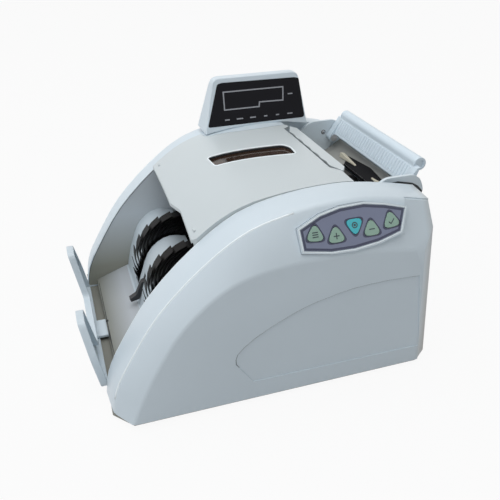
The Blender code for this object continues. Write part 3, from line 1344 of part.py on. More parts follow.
def make_inlet():
    """Mains inlet module: one flange round a shroud with three blades and a well for the rocker."""
    face = BODY_LENGTH + GAP
    rim = FLANGE_LIP
    z = INLET_Z
    low_y = SWITCH_Y - SWITCH_WIDTH / 2
    high_y = INLET_Y + INLET_WIDTH / 2
    tall = INLET_HEIGHT / 2
    shell = block("power_inlet", (face - INLET_DEPTH, low_y, z - tall), (face, high_y, z + tall))
    join(shell, block("inlet_flange", (face, low_y - rim, z - tall - rim),
                      (face + rim / 2, high_y + rim, z + tall + rim)))
    left = INLET_Y - INLET_WIDTH / 2 + rim
    right = high_y - rim
    well = [(left, z - tall + rim), (right, z - tall + rim), (right, z + tall / 2), (right - rim * 2, z + tall - rim),
            (left + rim * 2, z + tall - rim), (left, z + tall / 2)]
    cut(shell, extruded("inlet_well", [well], face - INLET_DEPTH + rim, face + OVERRUN, "X"))
    half = SWITCH_WIDTH / 2 - rim / 2
    high = SWITCH_HEIGHT / 2 - rim / 2
    cut(shell, block("rocker_well", (face - SWITCH_DEPTH, SWITCH_Y - half, z - high),
                     (face + OVERRUN, SWITCH_Y + half, z + high)))
    thin = BLADE_THICKNESS / 2
    blade = BLADE_HEIGHT / 2
    for across, up in ((-1, -0.15), (1, -0.15), (0, 0.2)):
        by = INLET_Y + across * INLET_WIDTH / 4
        bz = z + up * INLET_HEIGHT
        join(shell, block("blade", (face - INLET_DEPTH + rim / 2, by - thin, bz - blade),
                          (face - INLET_DEPTH / 3, by + thin, bz + blade)))
    return finish(shell, "power_inlet", "black_plastic")


FLANGE_LIP = 0.0024
BLADE_THICKNESS = 0.002
BLADE_HEIGHT = 0.004


def make_rocker():
    """The rocker of the mains switch: a shallow V, tilted to one side about its pivot."""
    face = BODY_LENGTH + GAP
    pivot = Vector((face - ROCKER_DEPTH, SWITCH_Y))
    rim = FLANGE_LIP / 2
    half = SWITCH_WIDTH / 2 - rim * 2
    tall = SWITCH_HEIGHT / 2 - rim - FIT
    shape = [(-ROCKER_DEPTH * 0.4, 0), (ROCKER_DEPTH - rim, -half), (ROCKER_DEPTH + ROCKER_LIFT, -half),
             (ROCKER_DEPTH + ROCKER_LIFT * 0.2, 0), (ROCKER_DEPTH + ROCKER_LIFT, half), (ROCKER_DEPTH - rim, half)]
    turn = Matrix.Rotation(ROCKER_TILT, 2)
    outline = [pivot + turn @ Vector(point) for point in shape]
    rocker = extruded("power_rocker", [outline], INLET_Z - tall, INLET_Z + tall, "Z")
    return finish(rocker, "power_rocker", "black_plastic", (pivot.x, pivot.y, INLET_Z))


ROCKER_TILT = math.radians(7)
ROCKER_DEPTH = 0.005
ROCKER_LIFT = 0.002


def make_main_board():
    """Control board standing in the near pod, on four spacers from the frame plate."""
    low = -PLATE_OUTER - BOARD_STAND
    board = extruded("main_board", [shaped(BOARD_OUTLINE_SHARES)], low - BOARD_THICKNESS, low)
    for x, z, width, height, depth in BOARD_CHIP_SHARES:
        chip = block("chip", (x * BODY_LENGTH, low - BOARD_THICKNESS - depth * BOARD_STAND, z * BODY_HEIGHT),
                     ((x + width) * BODY_LENGTH, low - BOARD_THICKNESS / 2, (z + height) * BODY_HEIGHT))
        join(board, chip)
    for x, z in BOARD_SPACER_SHARES:
        join(board, cylinder("spacer", SHAFT_RADIUS, low - BOARD_THICKNESS / 2, -PLATE_OUTER - GAP, x * BODY_LENGTH,
                             z * BODY_HEIGHT, 8))
    return finish(board, "main_board", "circuit")


BOARD_STAND = 0.012
BOARD_OUTLINE_SHARES = [(0.40, 0.10), (0.40, 0.56), (0.86, 0.56), (0.86, 0.10)]
BOARD_CHIP_SHARES = [(0.46, 0.22, 0.09, 0.12, 0.2), (0.60, 0.36, 0.06, 0.10, 0.25), (0.70, 0.16, 0.10, 0.16, 0.5)]
BOARD_SPACER_SHARES = [(0.42, 0.13), (0.42, 0.53), (0.84, 0.13), (0.84, 0.53)]


def settle():
    """Put the origin at the middle of the footprint, on the ground under the feet."""
    origin = bpy.data.objects.new("assembly_origin", None)
    PARTS.objects.link(origin)
    front = STOP_FRONT - STOP_LEAN * (STOP_HEIGHT - STOP_FOOT)
    rear = GRIP_X + GRIP_RADIUS
    origin.location = (-(front + rear) / 2, 0, FOOT_HEIGHT)
    for group in (PARTS, CUTTERS):
        for item in group.objects:
            if item is not origin and item.parent is None:
                item.parent = origin


def build():
    make_base_pan()
    make_feet()
    near = side_cover("near_side_cover", -1)
    far = side_cover("far_side_cover", 1)
    make_keypad(near)
    finish(near, "near_side_cover", "housing")
    finish(far, "far_side_cover", "housing")
    make_frame_plates()
    make_tie_rods()
    make_output_floor()
    make_stacker_guide()
    make_sensor_arm()
    make_note_stop()
    make_stop_screw()
    make_stacker_wheels()
    make_drive()
    make_motor()
    make_encoder()
    make_lid()
    make_lid_window()
    make_hinge_pins()
    make_display()
    make_hopper_walls()
    make_hopper_floor()
    make_note_wedges()
    make_front_bar()
    make_note_support()
    make_pivot_screws()
    make_rear_cover()
    make_inlet()
    make_rocker()
    make_main_board()
    settle()


build()
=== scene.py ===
# %% [markdown]
# # A desktop banknote counter, dressed for a studio photograph
# The machine counts banknotes: a stack goes into the hopper at the right, rubber rollers pull the notes
# down one by one, and two wheels with many thin curved fins lay them in the tray at the left. This file
# starts from the plain solids of its 60 pieces and gives them moulded edges, real finishes and the small
# details that a photograph shows. Each cell makes one thing, so the cells can be read, changed and rerun
# one after another.

# %% Load the frame
import json
import math
import bmesh
import bpy
from mathutils import Matrix, Vector
from mathutils.bvhtree import BVHTree


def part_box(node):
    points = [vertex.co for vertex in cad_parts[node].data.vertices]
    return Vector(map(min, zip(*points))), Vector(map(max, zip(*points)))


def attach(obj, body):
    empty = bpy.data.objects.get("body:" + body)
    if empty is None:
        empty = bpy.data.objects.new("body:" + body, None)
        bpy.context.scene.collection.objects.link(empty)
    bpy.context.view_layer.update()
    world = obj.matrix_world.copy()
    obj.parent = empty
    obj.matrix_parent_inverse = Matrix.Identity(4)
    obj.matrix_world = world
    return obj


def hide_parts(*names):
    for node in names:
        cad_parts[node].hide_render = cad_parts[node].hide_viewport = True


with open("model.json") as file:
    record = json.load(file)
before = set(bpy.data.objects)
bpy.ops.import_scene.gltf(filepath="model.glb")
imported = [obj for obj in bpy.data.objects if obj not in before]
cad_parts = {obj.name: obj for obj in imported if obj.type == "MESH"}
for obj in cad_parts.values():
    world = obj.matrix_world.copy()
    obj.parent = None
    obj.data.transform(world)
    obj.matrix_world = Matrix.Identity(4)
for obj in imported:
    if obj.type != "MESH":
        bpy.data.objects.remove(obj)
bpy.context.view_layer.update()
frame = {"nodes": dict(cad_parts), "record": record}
nodes = frame["nodes"]

# %% [markdown]
# ## Where things are
# The solids were drawn with X = 0 at the front of the housing and Z = 0 at the underside of the base pan.
# The whole assembly was then moved so that its origin is in the middle of its footprint. The base pan
# starts 2 mm behind the front, so its box says where the drawing's origin now lies. One small function
# turns a drawing's position into a position of the scene, and all the numbers below can be read off the
# drawing.

# %% Positions of the drawing
PAN_MARGIN = 0.002
pan_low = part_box("base_pan")[0]
DRAWING_ORIGIN = Vector((pan_low.x - PAN_MARGIN, 0, pan_low.z))


def spot(x, y, z):
    """A place of the drawing, in the scene."""
    return DRAWING_ORIGIN + Vector((x, y, z))


def placed(origin, across, up):
    """A matrix that lays flat drawings on a face: X runs across it, Y up it and Z out of it."""
    across = Vector(across).normalized()
    out = across.cross(Vector(up)).normalized()
    matrix = Matrix((across, out.cross(across), out)).transposed().to_4x4()
    matrix.translation = origin
    return matrix


print("front of the housing at", tuple(round(value, 4) for value in spot(0, 0, 0)))

# %% [markdown]
# ## Maths as formulas
# A procedural material is a formula drawn as a graph of nodes, and so is a Geometry Nodes plan. Formulas
# are easier to read as formulas, so one small class wraps a socket, and its operators add the Math nodes.
# Every other kind of node comes from one method, which takes the node's settings and the values of its
# sockets.

# %% The socket class
class Wire:
    def __init__(self, tree, socket=None):
        self.tree = tree
        self.socket = socket

    def node(self, kind, settings=None, output=0, **sockets):
        item = self.tree.nodes.new(kind)
        for key, value in (settings or {}).items():
            setattr(item, key, value)
        for key, value in sockets.items():
            numbered = key[0] == "i" and key[1:].isdigit()
            target = item.inputs[int(key[1:])] if numbered else item.inputs[key.replace("_", " ")]
            if isinstance(value, Wire):
                self.tree.links.new(value.socket, target)
            else:
                target.default_value = value
        return Wire(self.tree, item.outputs[output])

    def maths(self, operation, *values):
        numbered = {f"i{index}": value for index, value in enumerate(values)}
        return self.node("ShaderNodeMath", {"operation": operation}, **numbered)

    def __add__(self, other):
        return self.maths("ADD", self, other)

    def __sub__(self, other):
        return self.maths("SUBTRACT", self, other)

    def __rsub__(self, other):
        return self.maths("SUBTRACT", other, self)

    def __mul__(self, other):
        return self.maths("MULTIPLY", self, other)

    def __truediv__(self, other):
        return self.maths("DIVIDE", self, other)

    def __or__(self, other):
        return self.maths("MAXIMUM", self, other)

    def __lt__(self, other):
        return self.maths("LESS_THAN", self, other)

    __radd__ = __add__
    __rmul__ = __mul__

    def stretched(self, x, y, z):
        """A vector with each of its parts multiplied."""
        return self.node("ShaderNodeVectorMath", {"operation": "MULTIPLY"}, i0=self, i1=(x, y, z))

    def blend(self, low, high):
        """A colour between two colours, with this value as the share."""
        item = self.tree.nodes.new("ShaderNodeMix")
        item.data_type = "RGBA"
        self.tree.links.new(self.socket, item.inputs[0])
        for index, colour in ((6, low), (7, high)):
            if isinstance(colour, Wire):
                self.tree.links.new(colour.socket, item.inputs[index])
            else:
                item.inputs[index].default_value = (*colour, 1)
        return Wire(self.tree, item.outputs[2])

    def noise(self, scale, detail=2.0, rough=0.5):
        return self.node("ShaderNodeTexNoise", None, 0, Vector=self, Scale=scale, Detail=detail,
                         Roughness=rough)


print("socket class ready")

# %% [markdown]
# ## Finishes
# Every finish is a Principled shader fed by formulas of the object's own coordinates, in metres, so a scale
# of 900 makes a grain of about a millimetre. Moulded plastic has a fine spark-eroded grain and a faint
# cloudiness, brushed steel has streaks, rubber has dust, and the circuit boards have tracks and pads.

# %% Finish helpers
CLOUD_SCALE = 22.0
GRAIN_IN_ROUGHNESS = 0.10
CLOUD_IN_ROUGHNESS = 0.08
GRAIN_DEPTH = 0.0002
FINE_DEPTH = 0.0001


def finish_of(name, **constants):
    """A new material; returns it with its Principled shader and a wire of the object coordinates."""
    material = bpy.data.materials.new(name)
    material.use_nodes = True
    shader = material.node_tree.nodes["Principled BSDF"]
    for key, value in constants.items():
        shader.inputs[key.replace("_", " ")].default_value = value
    place = Wire(material.node_tree).node("ShaderNodeTexCoord", None, 3)
    return material, shader, place


def feed(shader, **wires):
    for key, wire in wires.items():
        shader.id_data.links.new(wire.socket, shader.inputs[key.replace("_", " ")])


def tinted(colour, share):
    return tuple(min(part * share, 1) for part in colour)


def moulded(name, colour, roughness, grain=1100.0, strength=0.10, cloud=0.02, shade_fade=None, **constants):
    """Moulded plastic: a fine grain, a faint cloudiness, and, if given as (axis, start, end, colour), painted
    shade that darkens it along one axis.
    """
    material, shader, place = finish_of(name, **constants)
    fine = place.noise(grain, 3.0, 0.6)
    broad = place.noise(CLOUD_SCALE, 3.0)
    mean = (GRAIN_IN_ROUGHNESS + CLOUD_IN_ROUGHNESS) / 2
    paint = broad.blend(tinted(colour, 1 - cloud), tinted(colour, 1 + cloud))
    # painted shade: between start and end along the axis the colour turns to the darker colour
    if shade_fade:
        axis, start, end, shade_colour = shade_fade
        along = place.node("ShaderNodeSeparateXYZ", None, axis, Vector=place)
        paint = ((along - start) / (end - start)).blend(paint, shade_colour)
    feed(shader, Base_Color=paint,
         Roughness=fine * GRAIN_IN_ROUGHNESS + broad * CLOUD_IN_ROUGHNESS + (roughness - mean),
         Normal=fine.node("ShaderNodeBump", None, 0, Height=fine, Strength=strength, Distance=GRAIN_DEPTH))
    return material


def brushed(name, colour, roughness):
    """Metal with fine streaks along one axis."""
    material, shader, place = finish_of(name, Metallic=1.0)
    streak = place.stretched(12.0, 900.0, 900.0).noise(1.0, 4.0, 0.7)
    cloud = place.noise(60.0)
    feed(shader, Base_Color=streak.blend(tinted(colour, 0.82), tinted(colour, 1.08)),
         Roughness=streak * 0.16 + cloud * 0.10 + (roughness - 0.12),
         Normal=streak.node("ShaderNodeBump", None, 0, Height=streak, Strength=0.08, Distance=FINE_DEPTH))
    return material


def rubber():
    material, shader, place = finish_of("rubber_finish")
    dust = place.noise(140.0, 6.0, 0.7)
    pores = place.noise(2600.0, 2.0)
    feed(shader, Base_Color=(dust * dust).blend((0.012, 0.012, 0.013), (0.075, 0.073, 0.070)),
         Roughness=dust * 0.2 + 0.62,
         Normal=pores.node("ShaderNodeBump", None, 0, Height=pores, Strength=0.25, Distance=GRAIN_DEPTH))
    return material


def smoky_window():
    """Smoked acrylic: mostly clear, with a brown body and faint smears."""
    material, shader, place = finish_of("smoky_window_finish", IOR=1.49, Transmission_Weight=0.88)
    smear = place.stretched(30.0, 90.0, 30.0).noise(1.0, 4.0)
    feed(shader, Base_Color=smear.blend((0.20, 0.115, 0.075), (0.27, 0.16, 0.11)),
         Roughness=smear * 0.10 + 0.04)
    return material


def dark_lens():
    """The display's lens: almost black, very smooth, with the smears of a wiped screen."""
    material, shader, place = finish_of("dark_lens_finish", Specular_IOR_Level=0.12)
    smear = place.stretched(18.0, 60.0, 60.0).noise(1.0, 5.0, 0.6)
    feed(shader, Base_Color=smear.blend((0.003, 0.003, 0.005), (0.008, 0.008, 0.012)),
         Roughness=smear * 0.2 + 0.05)
    return material


def printed(name, colour, gloss=0.5):
    """Ink printed on a polyester film: an even colour with a fine screen grain."""
    material, shader, place = finish_of(name, Coat_Roughness=0.12)
    screen = place.noise(3200.0, 2.0)
    broad = place.noise(40.0)
    feed(shader, Base_Color=(screen * 0.7 + broad * 0.3).blend(tinted(colour, 0.90), tinted(colour, 1.10)),
         Roughness=screen * 0.14 + 0.30, Coat_Weight=broad * 0.1 + gloss,
         Normal=screen.node("ShaderNodeBump", None, 0, Height=screen, Strength=0.06, Distance=FINE_DEPTH))
    return material


def circuit():
    """A circuit board: green lacquer over a grid of copper tracks, with bright pads."""
    material, shader, place = finish_of("circuit_finish")
    tracks = place.node("ShaderNodeTexBrick", {"offset": 0.5}, 1, Vector=place, Scale=180.0, Mortar_Size=0.03)
    pads = place.node("ShaderNodeTexVoronoi", None, 0, Vector=place, Scale=260.0)
    lacquer = tracks.blend((0.012, 0.13, 0.055), (0.03, 0.24, 0.10))
    pad = pads < 0.16
    feed(shader, Base_Color=pad.blend(lacquer, (0.72, 0.70, 0.62)),
         Roughness=pads * 0.3 + 0.25, Metallic=pad * 0.8)
    return material


print("finish helpers ready")

# %% [markdown]
# ### One finish for each slot
# Each piece of the frame keeps the finish that its slot names, and a few pieces that show get one of their
# own: the stacker wheels are a deeper black than other plastic and the note support is a little bluer. The
# tray, the near cover and the sheet on the bay's wall darken towards one end, which is painted shade, and the
# pale finish of the thin beads is painted highlight.

# %% Finishes of the frame's pieces
FINISHES = {
    "housing": moulded("housing_finish", (0.640, 0.725, 0.785), 0.38),
    "lid": moulded("lid_finish", (0.575, 0.630, 0.650), 0.38),
    "grey_plastic": moulded("grey_finish", (0.50, 0.53, 0.55), 0.50),
    "cream_plastic": moulded("cream_finish", (0.70, 0.66, 0.53), 0.5, 700.0),
    "black_plastic": moulded("black_finish", (0.020, 0.020, 0.022), 0.42, 900.0, 0.15, 0.15),
    "rubber": rubber(),
    "steel": brushed("steel_finish", (0.60, 0.61, 0.63), 0.32),
    "brass": brushed("brass_finish", (0.72, 0.55, 0.26), 0.32),
    "smoky_glass": smoky_window(),
    "display_glass": dark_lens(),
    "keypad_blue": printed("film_finish", (0.175, 0.200, 0.300)),
    "key_green": printed("green_key_finish", (0.265, 0.420, 0.340), 0.6),
    "key_teal": printed("teal_key_finish", (0.045, 0.500, 0.580), 0.6),
    "circuit": circuit(),
}
# painted shade: the tray's floor darker towards the front of the machine
TRAY_SHADE_FADE = (0, -0.112, -0.138, (0.205, 0.208, 0.176))
# painted shade: the wall of the bay darker towards the bottom
BAY_WALL_SHADE_FADE = (2, 0.090, 0.030, (0.330, 0.330, 0.280))
# painted shade: the near side cover darker and warmer at its rear corner
COVER_CORNER_SHADE_FADE = (0, 0.136, 0.154, (0.400, 0.390, 0.355))
WHEEL_FINISH = moulded("wheel_finish", (0.007, 0.006, 0.006), 0.30, 500.0, 0.05, 0.2, Specular_IOR_Level=0.07)
SUPPORT_FINISH = moulded("support_finish", (0.660, 0.760, 0.835), 0.36)
WALL_FINISH = moulded("wall_finish", (0.660, 0.740, 0.790), 0.42)
HOPPER_FINISH = moulded("hopper_finish", (0.330, 0.330, 0.310), 0.50)
GUIDE_FINISH = moulded("guide_finish", (0.520, 0.590, 0.640), 0.42)
# painted highlight: the whiter finish of the thin beads on edges that catch the light; the pale sensor plate
# uses it too
PALE_AND_HIGHLIGHT_FINISH = moulded("pale_and_highlight_finish", (0.880, 0.950, 0.980), 0.30)
# painted shade: the tray's floor darker towards the front of the machine
TRAY_SHADED_FINISH = moulded("tray_painted_shade_finish", (0.430, 0.460, 0.490), 0.42, shade_fade=TRAY_SHADE_FADE)
# painted shade: the wall of the bay darker towards the bottom
BAY_WALL_SHADE_FINISH = moulded("bay_wall_shade_finish", (0.620, 0.680, 0.725), 0.42, shade_fade=BAY_WALL_SHADE_FADE)
DEEP_FINISH = moulded("deep_finish", (0.230, 0.230, 0.200), 0.5)
# painted shade: the near side cover darker and warmer at its rear corner
COVER_SHADED_FINISH = moulded("cover_painted_shade_finish", (0.640, 0.725, 0.785), 0.38, shade_fade=COVER_CORNER_SHADE_FADE)
# partly painted shade: black for the rubber pads and for the shade in the opening in front of the pick-up
# rollers
PAD_AND_SHADE_FINISH = moulded("pad_and_shade_finish", (0.012, 0.012, 0.014), 0.6, Specular_IOR_Level=0.1)
NAVY_FINISH = printed("navy_finish", (0.022, 0.030, 0.075))
MARK_FINISH = printed("mark_finish", (0.30, 0.31, 0.34), 0.2)
SYMBOL_FINISH = printed("symbol_finish", (0.018, 0.035, 0.045), 0.3)
SHADOW_FINISH = moulded("shadow_gap_finish", (0.030, 0.033, 0.037), 0.8)
BROWN_FINISH = moulded("bridge_finish", (0.110, 0.060, 0.040), 0.35)
BLOCK_FINISH = moulded("block_finish", (0.520, 0.420, 0.340), 0.45)
# painted shade: the dark line along the upper edge of the shallow field in the near cover
FIELD_EDGE_SHADE_FINISH = moulded("field_edge_shade_finish", (0.150, 0.170, 0.185), 0.5)

slots = {part["node"]: part["material_slot"] for part in frame["record"]["subparts"]}
for name, node in nodes.items():
    node.data.materials.clear()
    node.data.materials.append(FINISHES[slots[name]] if name != "base_pan" else DEEP_FINISH)
body_of = {name: body for body, names in frame["record"]["behaviour"]["bodies"].items() for name in names}
print(len(bpy.data.materials), "finishes")

# %% [markdown]
# ## Moulded edges
# The frame's meshes are loose triangles with knife edges. A copy is merged and cleaned, gets narrow rounded
# edges that catch the light, and then stands for its node. The width is that of a real mould's edge.

# %% Rounded shells
WELD_DISTANCE = 0.00001
FLAT_ANGLE = math.radians(0.3)
SHARP_ANGLE = math.radians(32)


def in_scene(name, mesh, material=None):
    piece = bpy.data.objects.new(name, mesh)
    bpy.context.scene.collection.objects.link(piece)
    if material:
        mesh.materials.clear()
        mesh.materials.append(material)
    return piece


def merged(mesh):
    """Weld the loose triangles and melt the flat ones together."""
    if "custom_normal" in mesh.attributes:
        mesh.attributes.remove(mesh.attributes["custom_normal"])
    work = bmesh.new()
    work.from_mesh(mesh)
    bmesh.ops.remove_doubles(work, verts=work.verts, dist=WELD_DISTANCE)
    bmesh.ops.dissolve_limit(work, angle_limit=FLAT_ANGLE, verts=work.verts, edges=work.edges)
    bmesh.ops.recalc_face_normals(work, faces=work.faces)
    work.to_mesh(mesh)
    work.free()
    return mesh


def rounded(piece, width, segments=2):
    """Bevel the sharp edges, shade smoothly and keep the result as a plain mesh."""
    piece.data.shade_smooth()
    piece.data.set_sharp_from_angle(angle=SHARP_ANGLE)
    bevel = piece.modifiers.new("edges", "BEVEL")
    bevel.width = width
    bevel.segments = segments
    bevel.limit_method = "ANGLE"
    bevel.angle_limit = SHARP_ANGLE
    bevel.harden_normals = True
    bpy.context.view_layer.update()
    graph = bpy.context.evaluated_depsgraph_get()
    mesh = bpy.data.meshes.new_from_object(piece.evaluated_get(graph))
    piece.modifiers.clear()
    piece.data = mesh
    return piece


def dressed(node, width, finish):
    """A rounded copy of a node, which stands for it."""
    piece = in_scene(node + "_shell", merged(nodes[node].data.copy()), finish)
    rounded(piece, width)
    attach(piece, body_of[node])
    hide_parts(node)
    return piece


# the near side cover takes the finish with painted shade at its rear corner
SHELLS = [("near_side_cover", 0.0006, COVER_SHADED_FINISH), ("far_side_cover", 0.0006, None),
          ("top_cover", 0.0006, None), ("display_housing", 0.0007, None), ("keypad_bezel", 0.0004, None),
          ("hopper_front_bar", 0.0006, None), ("note_support", 0.0005, SUPPORT_FINISH),
          ("note_stop", 0.0006, None), ("output_floor", 0.0005, TRAY_SHADED_FINISH),
          ("stacker_guide", 0.0005, GUIDE_FINISH), ("near_hopper_wall", 0.0005, WALL_FINISH),
          ("far_hopper_wall", 0.0005, WALL_FINISH), ("hopper_floor", 0.0004, HOPPER_FINISH),
          ("rear_cover", 0.0005, None), ("tray_sensor_arm", 0.0005, None),
          ("near_note_wedge", 0.0004, None), ("far_note_wedge", 0.0004, None), ("power_inlet", 0.0003, None),
          ("power_rocker", 0.0003, None), ("cover_window", 0.0003, None), ("display_window", 0.0002, None),
          ("drive_motor", 0.0004, None)]
KEYS = ("left_key", "plus_key", "mode_key", "minus_key", "right_key")
KEY_EDGE = 0.0003
shells = {node: dressed(node, width, finish) for node, width, finish in SHELLS}
shells.update({key: dressed(key, KEY_EDGE, None) for key in KEYS})
print(len(shells), "rounded shells")

# %% [markdown]
# ## The stacker wheels
# Each wheel has 24 thin fins. A fin leaves the drum square and trails more and more, so its angle grows
# with the square of the way along it. One long thin box is bent along that line, and copies of it are
# turned about the axle. The plan is drawn as Geometry Nodes, with its sizes as named inputs, and then kept
# as a plain mesh.

# %% A Geometry Nodes plan
class Plan:
    """A Geometry Nodes tree with named inputs, whose result is kept as a plain mesh."""
    def __init__(self, name, **values):
        self.name = name
        self.values = values
        self.tree = bpy.data.node_groups.new(name + "_plan", "GeometryNodeTree")
        self.tree.interface.new_socket("Geometry", in_out="OUTPUT", socket_type="NodeSocketGeometry")
        for label, value in values.items():
            kind = "NodeSocketInt" if isinstance(value, int) else "NodeSocketFloat"
            self.tree.interface.new_socket(label, in_out="INPUT", socket_type=kind)
        self.inputs = self.tree.nodes.new("NodeGroupInput")
        self.start = Wire(self.tree)

    def __getitem__(self, label):
        return Wire(self.tree, self.inputs.outputs[label])

    def vector(self, x, y, z):
        return self.start.node("ShaderNodeCombineXYZ", None, 0, X=x, Y=y, Z=z)

    def axes_of(self, vector):
        return [vector.node("ShaderNodeSeparateXYZ", None, i, Vector=vector) for i in range(3)]

    def joined(self, *parts):
        item = self.tree.nodes.new("GeometryNodeJoinGeometry")
        for part in parts:
            self.tree.links.new(part.socket, item.inputs[0])
        return Wire(self.tree, item.outputs[0])

    def piece(self, geometry, material):
        real = geometry.node("GeometryNodeRealizeInstances", None, 0, Geometry=geometry)
        painted = real.node("GeometryNodeSetMaterial", None, 0, Geometry=real, Material=material)
        output = self.tree.nodes.new("NodeGroupOutput")
        self.tree.links.new(painted.socket, output.inputs[0])
        host = in_scene(self.name, bpy.data.meshes.new(self.name))
        modifier = host.modifiers.new("plan", "NODES")
        modifier.node_group = self.tree
        for item in self.tree.interface.items_tree:
            if item.in_out == "INPUT":
                modifier[item.identifier] = self.values[item.name]
        bpy.context.view_layer.update()
        graph = bpy.context.evaluated_depsgraph_get()
        mesh = bpy.data.meshes.new_from_object(host.evaluated_get(graph))
        host.modifiers.clear()
        host.data = mesh
        return host


print("plan class ready")

# %% Stacker wheels
FIN_COUNT = 24
FIN_STEPS = 22
DRUM_SIDES = 64
DRUM_OVERHANG = 0.0008
STACKER_AXIS = spot(0.101, 0, 0.057)


def stacker_wheel(node):
    low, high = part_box(node)
    plan = Plan(node + "_fins", Fins=FIN_COUNT, Root=0.0138, Tip=0.0519, Sweep=1.95, Width=0.0128,
                Thickness=0.0012, Taper=0.45, Drum=0.0145, Hub=0.009, Hub_Width=high.y - low.y)
    box = plan.start.node("GeometryNodeMeshCube", None, 0, Size=plan.vector(1.0, plan["Width"], 1.0),
                          Vertices_X=FIN_STEPS, Vertices_Y=2, Vertices_Z=2)
    across, side, up = plan.axes_of(plan.start.node("GeometryNodeInputPosition"))
    way = across + 0.5
    reach = plan["Tip"] - plan["Root"]
    radius = way * reach + plan["Root"]
    angle = way * way * plan["Sweep"]
    turn = way * plan["Sweep"] * 2.0
    sine = angle.maths("SINE", angle)
    cosine = angle.maths("COSINE", angle)
    run_x = radius * sine * turn - reach * cosine
    run_z = radius * cosine * turn + reach * sine
    run = run_x * run_x + run_z * run_z
    half = up * plan["Thickness"] * (1.0 - way * plan["Taper"]) / run.maths("SQRT", run)
    bent = plan.vector(0.0 - radius * cosine - run_z * half, side, radius * sine + run_x * half)
    fin = box.node("GeometryNodeSetPosition", None, 0, Geometry=box, Position=bent)
    points = plan.start.node("GeometryNodeMeshLine", None, 0, Count=plan["Fins"], Offset=(0.0, 0.0, 0.0))
    index = plan.start.node("GeometryNodeInputIndex")
    spin = plan.vector(0.0, index * (2 * math.pi) / plan["Fins"], 0.0)
    fins = points.node("GeometryNodeInstanceOnPoints", None, 0, Points=points, Instance=fin, Rotation=spin)
    rounds = []
    for label, width in (("Drum", plan["Width"] + DRUM_OVERHANG), ("Hub", plan["Hub_Width"])):
        drum = plan.start.node("GeometryNodeMeshCylinder", None, 0, Vertices=DRUM_SIDES, Radius=plan[label],
                               Depth=width)
        laid = drum.node("GeometryNodeTransform", None, 0, Geometry=drum, Rotation=(math.pi / 2, 0.0, 0.0))
        rounds.append(laid)
    wheel = plan.piece(plan.joined(fins, *rounds), WHEEL_FINISH)
    centre = Vector((STACKER_AXIS.x, (low.y + high.y) / 2, STACKER_AXIS.z))
    wheel.data.transform(Matrix.Translation(centre))
    rounded(wheel, 0.0002, 1)
    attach(wheel, body_of[node])
    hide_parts(node)
    return wheel


for node in ("near_stacker_wheel", "far_stacker_wheel"):
    print(node, len(stacker_wheel(node).data.polygons), "faces")

# %% [markdown]
# ## The note support's ribs
# Fine ribs run up the sheet of the note support, so that notes slide on lines and not on a face. They are
# copies of one narrow bar, laid side by side on the sheet's plane.

# %% Ribs of the note support
RIB_SPACING = 0.0048
RIB_SPAN = 0.150


def support_ribs():
    foot = spot(0.2947, 0, 0.1603)
    head = spot(0.3013, 0, 0.1727)
    plan = Plan("note_support_ribs", Count=int(RIB_SPAN / RIB_SPACING) + 1, Spacing=RIB_SPACING,
                Height=0.0010, Length=(head - foot).length, Width=0.0018)
    bar = plan.start.node("GeometryNodeMeshCube", None, 0,
                          Size=plan.vector(plan["Width"], plan["Length"], plan["Height"]),
                          Vertices_X=2, Vertices_Y=2, Vertices_Z=2)
    line = plan.start.node("GeometryNodeMeshLine", None, 0, Count=plan["Count"],
                           Offset=plan.vector(plan["Spacing"], 0.0, 0.0))
    ribs = line.node("GeometryNodeInstanceOnPoints", None, 0, Points=line, Instance=bar)
    piece = plan.piece(ribs, SUPPORT_FINISH)
    face = placed((foot + head) / 2, (0, -1, 0), head - foot)
    piece.data.transform(face @ Matrix.Translation((-RIB_SPAN / 2, 0, 0)))
    rounded(piece, 0.0002)
    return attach(piece, "support")


print("ribs:", len(support_ribs().data.polygons), "faces")

# %% [markdown]
# ## Flat drawings
# Prints and thin mouldings are drawn as closed outlines on a face, with holes where an outline lies in
# another. A short curve can replace each corner, and a helper moves a whole outline outwards or inwards.

# %% Outline helpers
RING_SIDES = 24


def filleted(points, radius, steps=5):
    """A closed outline with each corner replaced by a short curve."""
    result = []
    for before, corner, after in zip(points[-1:] + points[:-1], points, points[1:] + points[:1]):
        back = Vector(before) - Vector(corner)
        ahead = Vector(after) - Vector(corner)
        reach = min(radius, back.length / 2, ahead.length / 2)
        start = Vector(corner) + back.normalized() * reach
        stop = Vector(corner) + ahead.normalized() * reach
        for step in range(steps + 1):
            t = step / steps
            result.append(start * (1 - t) ** 2 + Vector(corner) * (2 * t * (1 - t)) + stop * t * t)
    return result


def grown(points, distance):
    """A closed outline, drawn clockwise, moved outwards, or inwards by a distance below zero."""
    moved = []
    for before, here, after in zip(points[-1:] + points[:-1], points, points[1:] + points[:1]):
        first = (Vector(here) - Vector(before)).normalized()
        second = (Vector(after) - Vector(here)).normalized()
        normal = Vector((-first.y - second.y, first.x + second.x)).normalized()
        lean = max(normal.dot(Vector((-first.y, first.x))), 0.5)
        moved.append(Vector(here) + normal * (distance / lean))
    return moved


def curve_mesh(name, lines, closed, **settings):
    """The mesh of a curve object that runs through the points of each line."""
    curve = bpy.data.curves.new(name, "CURVE")
    for key, value in settings.items():
        setattr(curve, key, value)
    for line in lines:
        spline = curve.splines.new("POLY")
        spline.points.add(len(line) - 1)
        for point, place in zip(spline.points, line):
            point.co = (*Vector(place).to_3d(), 1)
        spline.use_cyclic_u = closed
    drawing = bpy.data.objects.new(name, curve)
    mesh = bpy.data.meshes.new_from_object(drawing)
    bpy.data.objects.remove(drawing)
    return mesh


